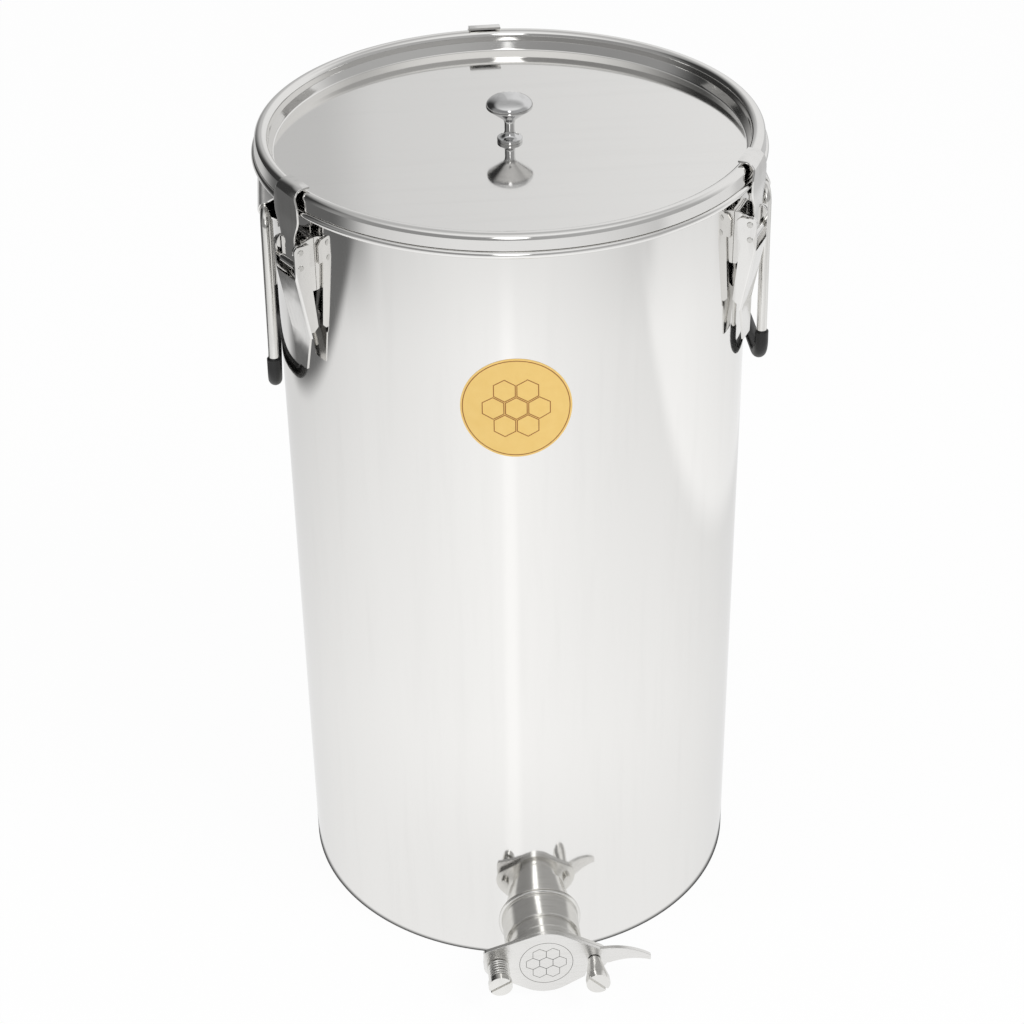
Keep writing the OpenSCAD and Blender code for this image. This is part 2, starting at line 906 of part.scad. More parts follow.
// Curved horn between two arcs
module horn_outline() {
    intersection() {
        difference() {
            translate([horn_top_x, horn_top_y])
                circle(horn_top_r);
            translate([horn_low_x, horn_low_y])
                circle(horn_low_r);
        }
        translate([horn_root_x, -gate_screw_r])
            square([horn_reach - horn_root_x, horn_top_r]);
    }
}

// Outline of the blade: disc, ears, heel and horn
module blade_outline() {
    hull() {
        circle(blade_r);
        translate([-gate_screw_x, 0])
            circle(gate_ear_r);
        translate([heel_corner_r - gate_screw_x - gate_ear_r, heel_rise])
            circle(heel_corner_r);
        translate([gate_screw_x, 0])
            circle(gate_ear_r);
    }
    horn_outline();
}

module gate_blade() {
    swing_r = 2 * gate_screw_x;
    notch_r = gate_screw_r + notch_gap;
    color("gainsboro")
        gate_axis()
            translate([0, 0, blade_rear])
                difference() {
                    linear_extrude(height = blade_t)
                        blade_outline();
                    translate([-gate_screw_x, 0, -overrun])
                        cylinder(h = blade_t + 2 * overrun, r = gate_screw_r + run_gap);
                    translate([gate_screw_x, 0, -overrun])
                        cylinder(h = blade_t + 2 * overrun, r = notch_r);
                    intersection() {
                        translate([-gate_screw_x, 0, -overrun])
                            difference() {
                                cylinder(h = blade_t + 2 * overrun, r = swing_r + notch_r);
                                translate([0, 0, -overrun])
                                    cylinder(h = blade_t + 4 * overrun, r = swing_r - notch_r);
                            }
                        translate([0, -blade_r, -2 * overrun])
                            cube([swing_r, blade_r, blade_t + 4 * overrun]);
                    }
                }
}

// Straight slot across a screw's face
module face_slot(face_z, turn) {
    rotate([0, 0, turn])
        translate([-gate_head_d / 2 - overrun, -slot_w / 2, face_z - slot_depth])
            cube([gate_head_d + 2 * overrun, slot_w, slot_depth + overrun]);
}

module gate_pivot_screw() {
    shank_start = flange_rear - screw_tail;
    color("silver")
        gate_axis()
            translate([-gate_screw_x, 0, 0])
                difference() {
                    union() {
                        translate([0, 0, shank_start])
                            cylinder(h = pivot_face - gate_head_h - shank_start, r = gate_screw_r);
                        translate([0, 0, pivot_face - gate_head_h])
                            cylinder(h = gate_head_h, r = gate_head_r);
                    }
                    face_slot(pivot_face, 30);
                }
}

module gate_lock_screw() {
    neck_end = lock_face - gate_head_h;
    color("silver")
        gate_axis()
            translate([gate_screw_x, 0, 0])
                difference() {
                    union() {
                        translate([0, 0, flange_rear - screw_tail])
                            cylinder(h = neck_start - flange_rear + screw_tail, r = gate_screw_r);
                        translate([0, 0, neck_start])
                            cylinder(h = neck_end - neck_start, r1 = gate_screw_r, r2 = gate_head_r);
                        translate([0, 0, neck_end])
                            cylinder(h = gate_head_h, r = gate_head_r);
                    }
                    face_slot(lock_face, -45);
                }
}

// Spring

// Point of the coil after a number of steps
function coil_point(i) = [
    spring_r * cos(360 * i / spring_steps),
    spring_r * sin(360 * i / spring_steps),
    spring_from + spring_wire_d + spring_pitch * i / spring_steps
];
coil_last = spring_curls * spring_steps;
// Centre line: a straight end, the coil and a straight end
spring_path = concat(
    [coil_point(0) - [0, 0, spring_wire_d]],
    [for (i = [0:coil_last]) coil_point(i)],
    [coil_point(coil_last) + [0, 0, spring_wire_d]]
);
path_last = len(spring_path) - 1;
// Least gap between curls, from points that lie most of a curl apart
spring_gap = min([
    for (i = [0:path_last])
        for (j = [i + spring_steps - 1:1:path_last])
            norm(spring_path[i] - spring_path[j])
]) - spring_wire_d;
echo(spring_gap = spring_gap);

function unit(v) = v / norm(v);
function path_step(i) = unit(spring_path[min(i + 1, path_last)] - spring_path[max(i - 1, 0)]);
function path_side(i) = unit([spring_path[i].x, spring_path[i].y, 0]);
// Points of the ring round the wire at one point of the path
function wire_ring(i) = [
    for (k = [0:spring_sides - 1])
        let (turn = 360 * k / spring_sides)
            spring_path[i] + spring_wire_d / 2
                * (cos(turn) * path_side(i) + sin(turn) * cross(path_step(i), path_side(i)))
];
function ring_index(i, k) = i * spring_sides + k % spring_sides;

module gate_spring() {
    points = [for (i = [0:path_last]) each wire_ring(i)];
    sides = [
        for (i = [0:path_last - 1])
            for (k = [0:spring_sides - 1])
                each [
                    [ring_index(i, k), ring_index(i + 1, k + 1), ring_index(i, k + 1)],
                    [ring_index(i, k), ring_index(i + 1, k), ring_index(i + 1, k + 1)]
                ]
    ];
    ends = [
        for (k = [1:spring_sides - 2])
            each [
                [ring_index(0, 0), ring_index(0, k), ring_index(0, k + 1)],
                [ring_index(path_last, 0), ring_index(path_last, k + 1), ring_index(path_last, k)]
            ]
    ];
    color("silver")
        gate_axis()
            translate([-gate_screw_x, 0, 0])
                polyhedron(points = points, faces = concat(sides, ends));
}

tank_shell();
tank_base();
label_disc();
lid();
lid_gasket();
lid_knob();
knob_washer();
knob_screw();
clamp_base(clamp_right_angle);  // clamp_front_right_base
clamp_rivets(clamp_right_angle);  // clamp_front_right_rivets
clamp_lever(clamp_right_angle);  // clamp_front_right_lever
clamp_hook_pin(clamp_right_angle);  // clamp_front_right_hook_pin
clamp_hook(clamp_right_angle);  // clamp_front_right_hook
clamp_base(clamp_left_angle);  // clamp_front_left_base
clamp_rivets(clamp_left_angle);  // clamp_front_left_rivets
clamp_lever(clamp_left_angle);  // clamp_front_left_lever
clamp_hook_pin(clamp_left_angle);  // clamp_front_left_hook_pin
clamp_hook(clamp_left_angle);  // clamp_front_left_hook
clamp_base(clamp_rear_angle);  // clamp_rear_base
clamp_rivets(clamp_rear_angle);  // clamp_rear_rivets
clamp_lever(clamp_rear_angle);  // clamp_rear_lever
clamp_hook_pin(clamp_rear_angle);  // clamp_rear_hook_pin
clamp_hook(clamp_rear_angle);  // clamp_rear_hook
handle_bracket(0);  // handle_right_bracket
handle_bail(0);  // handle_right_bail
handle_grip(0);  // handle_right_grip
handle_bracket(180);  // handle_left_bracket
handle_bail(180);  // handle_left_bail
handle_grip(180);  // handle_left_grip
gate_weld();
gate_socket();
gate_body();
gate_blade();
gate_pivot_screw();
gate_spring();
gate_lock_screw();
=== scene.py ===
"""Looks of a stainless steel honey settling tank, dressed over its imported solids.

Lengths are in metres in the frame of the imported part: the tank stands on z = 0, its axis is z
and its gate points along -y. Wall, lid, knob, hooks, handles, spring, weld, label and markings are
numpy surfaces. The other clamp parts, the handles' brackets and the gate's plates, socket and screws
are welded copies of their solids with softened edges. What hardly shows stays as packed.
"""

from __future__ import annotations

import json
import logging
import math
from dataclasses import dataclass, field
from enum import Enum
from typing import Sequence

import bmesh
import bpy
import numpy as np
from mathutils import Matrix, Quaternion, Vector

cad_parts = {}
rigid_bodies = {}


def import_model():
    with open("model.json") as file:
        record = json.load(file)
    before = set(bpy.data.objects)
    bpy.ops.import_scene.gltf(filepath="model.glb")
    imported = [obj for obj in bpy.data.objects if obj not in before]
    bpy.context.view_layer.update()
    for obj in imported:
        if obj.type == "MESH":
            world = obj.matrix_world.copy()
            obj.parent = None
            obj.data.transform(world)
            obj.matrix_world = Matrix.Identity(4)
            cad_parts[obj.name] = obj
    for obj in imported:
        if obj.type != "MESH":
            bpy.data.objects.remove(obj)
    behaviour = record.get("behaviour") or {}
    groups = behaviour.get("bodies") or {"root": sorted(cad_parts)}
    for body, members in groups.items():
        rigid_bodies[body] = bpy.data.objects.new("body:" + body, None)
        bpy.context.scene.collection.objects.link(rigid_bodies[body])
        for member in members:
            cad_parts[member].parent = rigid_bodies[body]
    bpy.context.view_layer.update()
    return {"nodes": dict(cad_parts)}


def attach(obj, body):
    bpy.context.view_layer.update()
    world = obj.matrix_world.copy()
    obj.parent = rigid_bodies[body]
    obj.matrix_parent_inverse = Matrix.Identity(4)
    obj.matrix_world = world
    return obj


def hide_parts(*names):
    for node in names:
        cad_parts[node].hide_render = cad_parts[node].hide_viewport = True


LOG = logging.getLogger("honey_tank")
MM = 0.001
# Distances within which points merge, in new surfaces and in copies of solids
WELD = 1e-7
SOLID_WELD = 1e-6
# Angles up to which neighbouring faces join, and above which an edge is sharp
FLAT_ANGLE = math.radians(0.4)
SMOOTH_ANGLE = math.radians(32)
# Comb cells: number of corners, direction of the first in degrees, points along each edge
HEXAGON = 6
CELL_TURN = 30.0
EDGE_POINTS = 6
WHITE = "#FFFFFF"

Array = np.ndarray
Triple = tuple[float, float, float]
# Setting of a node that maps a range, for a change that eases in and out
EASED = {"interpolation_type": "SMOOTHSTEP"}


class Edge(Enum):
    """How far the edges of a welded copy are softened, as a width in metres."""

    CRISP = 0.15 * MM
    PRESSED = 0.3 * MM
    TURNED = 0.4 * MM


class Place(Enum):
    """Where a lid clamp stands, as its direction in degrees."""

    FRONT_RIGHT = -27.5
    FRONT_LEFT = -150.0
    REAR = 91.0


class Side(Enum):
    """On which side a handle hangs, as the sign of its x."""

    RIGHT = 1
    LEFT = -1


# Colours and shader nodes


def linear(hex_colour: str) -> tuple[float, float, float, float]:
    """Turns an sRGB hex colour into linear light.

    Args:
        hex_colour: Six hex digits with a leading hash.

    Returns:
        Linear red, green, blue and an alpha of one.
    """
    srgb = np.array([int(hex_colour[i:i + 2], 16) for i in (1, 3, 5)]) / 255
    light = np.where(srgb <= 0.04045, srgb / 12.92, ((srgb + 0.055) / 1.055) ** 2.4)
    return (*light.tolist(), 1.0)


def add(tree: bpy.types.NodeTree, kind: str, inputs: dict | None = None,
        **settings: object) -> bpy.types.Node:
    """Adds a shader node, sets it up and links it.

    Args:
        tree: Node tree that takes the node.
        kind: Blender's name of the node type.
        inputs: Socket name or number to a value, or to an output socket to link from.
        **settings: Properties of the node itself.

    Returns:
        The new node.
    """
    node = tree.nodes.new(kind)
    for key, value in settings.items():
        setattr(node, key, value)
    for key, value in (inputs or {}).items():
        if isinstance(value, bpy.types.NodeSocket):
            tree.links.new(value, node.inputs[key])
        else:
            node.inputs[key].default_value = value
    return node


@dataclass(frozen=True)
class Change:
    """A change from one value to another along some measure, such as a distance.

    Attributes:
        start: Measure where the change starts.
        end: Measure where it ends.
        before: Value up to the start.
        after: Value from the end on.
    """

    start: float
    end: float
    before: float = 0.0
    after: float = 1.0

    def over(self, measure: bpy.types.NodeSocket, before: bpy.types.NodeSocket | float | None = None,
             after: bpy.types.NodeSocket | float | None = None) -> dict:
        """Gives the change as the inputs of a node that maps a range.

        Args:
            measure: Output socket that the change follows.
            before: What stands in for the value before, if anything does.
            after: What stands in for the value after, if anything does.

        Returns:
            Input numbers and what goes into them.
        """
        low = self.before if before is None else before
        high = self.after if after is None else after
        return {0: measure, 1: self.start, 2: self.end, 3: low, 4: high}


# Finishes


@dataclass(frozen=True)
class Finish:
    """A surface finish that is made into one Blender material when it is first used.

    Attributes:
        name: Name of the real material and how its surface was made.
        slot: The record's slot that the finish belongs to. Not used.
        colour: sRGB hex colour.
        roughness: Middle value of the shader's roughness.
    """

    name: str
    slot: str
    colour: str
    roughness: float

    def material(self) -> bpy.types.Material:
        """Returns the material, which is made once."""
        found = bpy.data.materials.get(self.name)
        return found or self.make()

    def make(self) -> bpy.types.Material:
        """Makes the material with its shader and the finish's own pattern.

        Returns:
            The new material.
        """
        made = bpy.data.materials.new(self.name)
        made.use_nodes = True
        tree = made.node_tree
        tree.nodes.clear()
        shader = add(tree, "ShaderNodeBsdfPrincipled", {
            "Base Color": linear(self.colour), "Roughness": self.roughness})
        add(tree, "ShaderNodeOutputMaterial", {"Surface": shader.outputs[0]})
        self.pattern(tree, shader)
        return made

    def pattern(self, tree: bpy.types.NodeTree, shader: bpy.types.Node) -> None:
        """Adds the finish's pattern to its shader."""
        raise NotImplementedError


def scaled_noise(tree: bpy.types.NodeTree, size: Sequence[float], detail: float) -> bpy.types.NodeSocket:
    """Adds noise on object coordinates whose blotches have a real size along each axis.

    Args:
        tree: Node tree of a material.
        size: Blotch size along x, y and z in metres.
        detail: Number of finer layers.

    Returns:
        The noise's factor output.
    """
    place = add(tree, "ShaderNodeTexCoord")
    scale = add(tree, "ShaderNodeMapping", {
        "Vector": place.outputs["Object"], "Scale": [1 / length for length in size]})
    noise = add(tree, "ShaderNodeTexNoise", {
        "Vector": scale.outputs[0], "Scale": 1.0, "Detail": detail})
    return noise.outputs[0]


@dataclass(frozen=True)
class Steel(Finish):
    """Bare stainless steel: a mirror that is a little soft, with rolling or turning marks.

    The real marks are too fine to show, so they are drawn a few tenths of a millimetre wide.

    Attributes:
        grain: Size of the fine marks along x, y and z.
        spread: How far the marks move the roughness up and down.
        streak: Size of the faint streaks along x, y and z.
        dull: Colour of the streaks.
        ripple: Width of the sheet's slow waves.
        ripple_height: Height of those waves.
        edge_tint: How much light the steel keeps at a glancing angle.
        mark_range: Noise values between which the marks move the roughness.
        streak_range: Noise values between which a streak sets in.
        layers: Number of finer layers in the marks and streaks.
    """

    grain: Triple = (0.4 * MM, 0.4 * MM, 24 * MM)
    spread: float = 0.03
    streak: Triple = (9 * MM, 9 * MM, 140 * MM)
    dull: str = "#E3E2E0"
    ripple: float = 45 * MM
    ripple_height: float = 0.02 * MM
    edge_tint: float = 0.9
    mark_range: Change = Change(0.3, 0.7)
    streak_range: Change = Change(0.45, 0.8)
    layers: float = 3.0

    def pattern(self, tree: bpy.types.NodeTree, shader: bpy.types.Node) -> None:
        """Adds marks to the roughness, streaks to the colour and slow waves to the surface.

        Args:
            tree: Node tree of the material.
            shader: The principled shader.
        """
        shader.inputs["Metallic"].default_value = 1.0
        shader.inputs["Specular Tint"].default_value = (*[self.edge_tint] * 3, 1.0)
        low, high = max(self.roughness - self.spread, 0.0), self.roughness + self.spread
        marks = scaled_noise(tree, self.grain, self.layers)
        rough = add(tree, "ShaderNodeMapRange", self.mark_range.over(marks, low, high)).outputs[0]
        streaks = scaled_noise(tree, self.streak, self.layers)
        share = add(tree, "ShaderNodeMapRange", self.streak_range.over(streaks), **EASED).outputs[0]
        colour = add(tree, "ShaderNodeMix", {
            "Factor": share, "A": linear(self.colour), "B": linear(self.dull)}, data_type="RGBA")
        waves = scaled_noise(tree, [self.ripple] * 3, detail=1.0)
        bump = add(tree, "ShaderNodeBump", {
            "Strength": 1.0, "Distance": self.ripple_height, "Height": waves})
        tree.links.new(rough, shader.inputs["Roughness"])
        tree.links.new(colour.outputs["Result"], shader.inputs["Base Color"])
        tree.links.new(bump.outputs[0], shader.inputs["Normal"])


@dataclass(frozen=True)
class Soft(Finish):
    """Vinyl or silicone: even in colour, dull, with a pebbled skin drawn coarse enough to show.

    Attributes:
        skin: Size of the skin's pebbles.
        skin_height: Height of the pebbles.
        skin_strength: How strongly the pebbles bend the light.
        scuffed: Colour where the skin is rubbed.
        scuff: Size of the rubbed places.
        scuff_range: Noise values between which a rubbed place sets in.
        ior: Index of refraction of the plastic.
    """

    skin: float = 0.9 * MM
    skin_height: float = 0.06 * MM
    skin_strength: float = 0.6
    scuffed: str = "#303030"
    scuff: float = 9 * MM
    scuff_range: Change = Change(0.5, 0.8)
    ior: float = 1.52

    def pattern(self, tree: bpy.types.NodeTree, shader: bpy.types.Node) -> None:
        """Adds rubbed places and a pebbled skin.

        Args:
            tree: Node tree of the material.
            shader: The principled shader.
        """
        shader.inputs["IOR"].default_value = self.ior
        worn = scaled_noise(tree, [self.scuff] * 3, detail=4.0)
        share = add(tree, "ShaderNodeMapRange", self.scuff_range.over(worn), **EASED).outputs[0]
        colour = add(tree, "ShaderNodeMix", {
            "Factor": share, "A": linear(self.colour), "B": linear(self.scuffed)}, data_type="RGBA")
        pebbles = scaled_noise(tree, [self.skin] * 3, detail=2.0)
        bump = add(tree, "ShaderNodeBump", {
            "Strength": self.skin_strength, "Distance": self.skin_height, "Height": pebbles})
        tree.links.new(colour.outputs["Result"], shader.inputs["Base Color"])
        tree.links.new(bump.outputs[0], shader.inputs["Normal"])


@dataclass(frozen=True)
class Film(Finish):
    """Printed film, ink or laser mark: a satin colour that is slightly uneven.

    Attributes:
        blotch: Size of the uneven places.
        other: Colour that the uneven places tend to.
        grain: Size of the faint grain.
        grain_height: Height of the grain.
        grain_strength: How strongly the grain bends the light.
        ior: Index of refraction of the coat.
    """

    blotch: float = 6 * MM
    other: str = "#F1C973"
    grain: float = 0.7 * MM
    grain_height: float = 0.02 * MM
    grain_strength: float = 0.3
    ior: float = 1.46

    def pattern(self, tree: bpy.types.NodeTree, shader: bpy.types.Node) -> None:
        """Adds an uneven tone and a faint grain.

        Args:
            tree: Node tree of the material.
            shader: The principled shader.
        """
        shader.inputs["IOR"].default_value = self.ior
        uneven = scaled_noise(tree, [self.blotch] * 3, detail=5.0)
        colour = add(tree, "ShaderNodeMix", {
            "Factor": uneven, "A": linear(self.colour), "B": linear(self.other)}, data_type="RGBA")
        grain = scaled_noise(tree, [self.grain] * 3, detail=2.0)
        bump = add(tree, "ShaderNodeBump", {
            "Strength": self.grain_strength, "Distance": self.grain_height, "Height": grain})
        tree.links.new(colour.outputs["Result"], shader.inputs["Base Color"])
        tree.links.new(bump.outputs[0], shader.inputs["Normal"])


# Rolled stainless sheet, mirror polished: the floor shows in it, with faint upright rolling lines
WALL_STEEL = Steel("polished_stainless_sheet", "tank_steel", "#F0EFED", 0.06, spread=0.02, dull="#EEEDEB",
                   ripple_height=0.012 * MM, edge_tint=0.88)
# Pressed stainless sheet, a little duller than the wall, with marks along one direction
LID_STEEL = Steel("pressed_stainless_sheet", "lid_steel", "#EDECEA", 0.07, streak=(160 * MM, 9 * MM, 9 * MM),
                  dull="#EBEAE8", grain=(24 * MM, 0.4 * MM, 0.4 * MM), ripple_height=0.008 * MM)
# Pressed strip, tumbled bright: sharp small reflections
CLAMP_STEEL = Steel("tumbled_stainless_strip", "clamp_steel", "#ECEBE9", 0.09,
                    streak=(4 * MM, 4 * MM, 30 * MM), grain=(0.5 * MM, 0.5 * MM, 9 * MM),
                    ripple=14 * MM, ripple_height=0.12 * MM)
# Drawn rod: bright with fine lines along its length
ROD_STEEL = Steel("drawn_stainless_rod", "handle_steel", "#E6E5E2", 0.14, streak=(2 * MM, 2 * MM, 30 * MM),
                  dull="#D9D8D5", grain=(0.3 * MM, 0.3 * MM, 14 * MM), ripple=20 * MM)
# Turned stainless: fine rings round the gate's axis
TURNED_STEEL = Steel("turned_stainless", "gate_steel", "#EAE9E6", 0.2, streak=(20 * MM, 1.2 * MM, 20 * MM),
                     dull="#DBDAD7", grain=(14 * MM, 0.25 * MM, 14 * MM), ripple=20 * MM)
# Laser cut plate, finely ground: an even satin face
GROUND_STEEL = Steel("ground_stainless_plate", "gate_steel", "#EBEAE8", 0.26,
                     streak=(25 * MM, 2 * MM, 2 * MM), dull="#E6E5E2",
                     grain=(9 * MM, 0.3 * MM, 0.3 * MM), ripple=18 * MM)
# Rivets and screws left as headed and tumbled
RIVET_STEEL = Steel("headed_steel_wire", "fastener_steel", "#D9D8D5", 0.2, streak=(2 * MM, 2 * MM, 2 * MM),
                    dull="#CAC9C5", grain=(0.4 * MM, 0.4 * MM, 0.4 * MM), ripple=5 * MM)
# Hard drawn spring wire
SPRING_STEEL = Steel("drawn_spring_wire", "gate_steel", "#EAE9E6", 0.22, streak=(2 * MM, 2 * MM, 2 * MM),
                     dull="#D3D2CF", grain=(3 * MM, 0.3 * MM, 3 * MM), ripple=5 * MM)
# Chrome plate on a turned knob: the clearest mirror on the tank
CHROME = Steel("chrome_plate", "knob_chrome", "#DCDCDC", 0.03, spread=0.015, streak=(6 * MM, 6 * MM, 1 * MM),
               dull="#D2D2D2", grain=(5 * MM, 5 * MM, 0.4 * MM), ripple=12 * MM, ripple_height=0.008 * MM)
# Black vinyl hose: satin black with a soft pebbled skin
HOSE = Soft("black_vinyl_hose", "grip", "#0E0E0E", 0.42, scuffed="#1C1C1C")
# White silicone: chalky and soft
SILICONE = Soft("white_silicone", "gasket", "#E9E8E3", 0.55, scuffed="#DAD8D0")
# Gold coloured film with a satin coat
GOLD_FILM = Film("gold_printed_film", "label", "#F8D483", 0.36)
# Orange brown ink on the film
LABEL_INK = Film("brown_print_ink", "label", "#A8692A", 0.45, other="#8A5220")
# Lines that a laser darkened in the plate
LASER_LINE = Film("laser_darkened_steel", "gate_steel", "#5B5A57", 0.5, other="#74726E")


# Curves and surfaces


def arc(centre: Sequence[float], radius: float, start: float, end: float, steps: int) -> Array:
    """Points on a circle: centre plus radius times the cosine and sine of even angles.

    Args:
        centre: Two coordinates.
        radius: Radius of the circle.
        start: First angle in degrees.
        end: Last angle in degrees.
        steps: Number of points.

    Returns:
        An array of points with two columns.
    """
    turn = np.radians(np.linspace(start, end, steps))
    return np.column_stack([centre[0] + radius * np.cos(turn), centre[1] + radius * np.sin(turn)])


def rounded(corners: Sequence[Sequence[float]], steps: int = 9) -> Array:
    """Polyline whose corners are arcs that touch both neighbours.

    Each inner corner (x, y, r) is replaced by an arc of radius r. The arc starts at
    r * tan(half the turn) before the corner and its points turn evenly round its centre.

    Args:
        corners: Points as (x, y) or (x, y, r). A missing r leaves the corner sharp.
        steps: Points on each arc.

    Returns:
        An array of points with two columns.
    """
    points = [np.array(corners[0][:2])]
    for before, here, after in zip(corners, corners[1:], corners[2:]):
        middle = np.array(here[:2])
        if len(here) < 3:
            points.append(middle)
            continue
        back = np.array(before[:2]) - middle
        ahead = np.array(after[:2]) - middle
        back, ahead = back / np.linalg.norm(back), ahead / np.linalg.norm(ahead)
        turn = math.pi - math.acos(float(np.clip(back @ ahead, -1, 1)))
        bisector = (back + ahead) / np.linalg.norm(back + ahead)
        centre = middle + bisector * here[2] / math.cos(turn / 2)
        even = np.linspace(-turn / 2, turn / 2, steps)
        along = (ahead - back) / np.linalg.norm(ahead - back)
        points.extend(centre + here[2] * (np.outer(np.sin(even), along) - np.outer(np.cos(even), bisector)))
    points.append(np.array(corners[-1][:2]))
    return np.array(points)


def tangents(path: Array) -> Array:
    """Unit directions along a path, from central differences of its points."""
    step = np.gradient(path, axis=0)
    return step / np.linalg.norm(step, axis=1, keepdims=True)


def guarded(path: Array, gap: float) -> Array:
    """Adds a point one gap inside each end of a path's long straight runs, so that they shade flat.

    Args:
        path: Points with two columns.
        gap: Distance of the new points from the ends of their run.

    Returns:
        The path with its new points.
    """
    step = np.diff(path, axis=0)
    length = np.linalg.norm(step, axis=1)
    shortest = 4 * gap
    runs = np.nonzero(length > shortest)[0]
    inset = step[runs] * (gap / length[runs])[:, None]
    extra = np.stack([path[runs] + inset, path[runs + 1] - inset], axis=1).reshape(-1, 2)
    return np.insert(path, np.repeat(runs + 1, 2), extra, axis=0)


def sheet_loop(path: Array, thickness: float, steps: int = 5) -> Array:
    """Closed outline of a sheet along its middle line, with half round edges.

    The outline is the middle line moved to both sides by half the thickness along its normal,
    joined at the ends by half circles.

    Args:
        path: Middle line in a plane.
        thickness: Thickness of the sheet.
        steps: Points on each half circle.

    Returns:
        A closed loop of points with two columns.
    """
    path = guarded(path, thickness)
    along = tangents(path)
    side = np.column_stack([-along[:, 1], along[:, 0]]) * thickness / 2
    turn = np.linspace(0, math.pi, steps + 2)[1:-1, None]
    half = thickness / 2
    end = path[-1] + np.cos(turn) * side[-1] + np.sin(turn) * along[-1] * half
    start = path[0] - np.cos(turn) * side[0] - np.sin(turn) * along[0] * half
    return np.vstack([path + side, end, (path - side)[::-1], start])


def grid_faces(rows: int, columns: int, wrap_rows: bool, wrap_columns: bool) -> Array:
    """Four sided faces between neighbouring points of a grid.

    Args:
        rows: Number of rows.
        columns: Number of points in a row.
        wrap_rows: Whether the last row joins the first.
        wrap_columns: Whether each row is closed.

    Returns:
        Vertex numbers with four columns.
    """
    i = np.arange(rows if wrap_rows else rows - 1)[:, None]
    j = np.arange(columns if wrap_columns else columns - 1)[None, :]
    i2, j2 = (i + 1) % rows, (j + 1) % columns
    corners = [i * columns + j, i * columns + j2, i2 * columns + j2, i2 * columns + j]
    return np.stack([np.broadcast_to(c, (i.size, j.size)).ravel() for c in corners], axis=1)


@dataclass
class Surface:
    """Points and faces of one or more grids that become one mesh.

    Attributes:
        points: Arrays of points with three columns.
        faces: Lists of vertex numbers.
    """

    points: list[Array] = field(default_factory=list)
    faces: list[list[int]] = field(default_factory=list)

    def grid(self, points: Array, wrap_rows: bool = False, wrap_columns: bool = True,
             caps: bool = False) -> Surface:
        """Adds a grid of points.

        Args:
            points: Array of rows, columns and three coordinates.
            wrap_rows: Whether the last row joins the first.
            wrap_columns: Whether each row is closed.
            caps: Whether the first and last rows are closed by a face each.

        Returns:
            This surface.
        """
        rows, columns = points.shape[:2]
        start = sum(len(p) for p in self.points)
        self.points.append(points.reshape(-1, 3))
        self.faces.extend((grid_faces(rows, columns, wrap_rows, wrap_columns) + start).tolist())
        if caps:
            ring = np.arange(columns) + start
            self.faces.append(ring[::-1].tolist())
            self.faces.append((ring + (rows - 1) * columns).tolist())
        return self

    def mesh(self, name: str) -> bpy.types.Mesh:
        """Makes the mesh, merges doubles and turns all faces outwards.

        Args:
            name: Name of the mesh.

        Returns:
            The new mesh, smooth but for its sharp edges.
        """
        made = bpy.data.meshes.new(name)
        made.from_pydata(np.vstack(self.points).tolist(), [], self.faces)
        tidy = bmesh.new()
        tidy.from_mesh(made)
        bmesh.ops.remove_doubles(tidy, verts=tidy.verts, dist=WELD)
        bmesh.ops.recalc_face_normals(tidy, faces=tidy.faces)
        tidy.to_mesh(made)
        tidy.free()
        made.shade_smooth()
        made.set_sharp_from_angle(angle=SMOOTH_ANGLE)
        return made


def revolve(section: Array, turns: int) -> Array:
    """Surface of revolution: the section's (r, z) points turned evenly round the z axis.

    Args:
        section: Points as radius and height.
        turns: Number of places round the axis.

    Returns:
        A grid whose rows follow the section and whose columns go round.
    """
    turn = np.linspace(0, 2 * math.pi, turns, endpoint=False)
    r, z = section[:, :1], section[:, 1:]
    return np.stack([r * np.cos(turn), r * np.sin(turn), z + 0 * turn], axis=-1)


def tube(path: Array, side: Array, radius: Array, sides: int) -> Array:
    """Round tube: at each path point a circle in the plane of its side vector and its cross product.

    Args:
        path: Points with three columns.
        side: Unit vectors square to the path.
        radius: Radius at each point.
        sides: Points round the tube.

    Returns:
        A grid whose rows follow the path.
    """
    along = tangents(path)
    up = np.cross(along, side)
    turn = np.linspace(0, 2 * math.pi, sides, endpoint=False)[None, :, None]
    ring = np.cos(turn) * side[:, None] + np.sin(turn) * up[:, None]
    return path[:, None] + radius[:, None, None] * ring


def smooth_step(value: Array, start: float, end: float) -> Array:
    """Rises from zero to one between two values as 3 t^2 - 2 t^3.

    Args:
        value: Values to ease.
        start: Value where the rise starts.
        end: Value where it ends.

    Returns:
        The eased shares.
    """
    share = np.clip((value - start) / (end - start), 0, 1)
    return share * share * (3 - 2 * share)


def lengths_along(path: Array) -> Array:
    """Distance of each point from the path's start."""
    return np.concatenate([[0], np.cumsum(np.linalg.norm(np.diff(path, axis=0), axis=1))])


def resample(path: Array, spacing: float) -> Array:
    """Points at about even distances along a path, by straight interpolation.

    Args:
        path: Points of the path.
        spacing: Wanted distance.

    Returns:
        The new points.
    """
    run = lengths_along(path)
    even = np.linspace(0, run[-1], max(int(run[-1] / spacing), 2))
    return np.column_stack([np.interp(even, run, path[:, k]) for k in range(path.shape[1])])


def comb_centres(cell: float, rings: int) -> list[Array]:
    """Centres of a comb's cells: whole steps along two directions sixty degrees apart.

    Args:
        cell: Radius of a cell, wall included.
        rings: Number of rings round the middle cell.

    Returns:
        Points of the plane.
    """
    step = math.sqrt(3) * cell
    first, second = np.array([step, 0]), step * np.array([0.5, math.sqrt(3) / 2])
    whole = range(-rings, rings + 1)
    return [i * first + j * second for i in whole for j in whole if abs(i + j) <= rings]


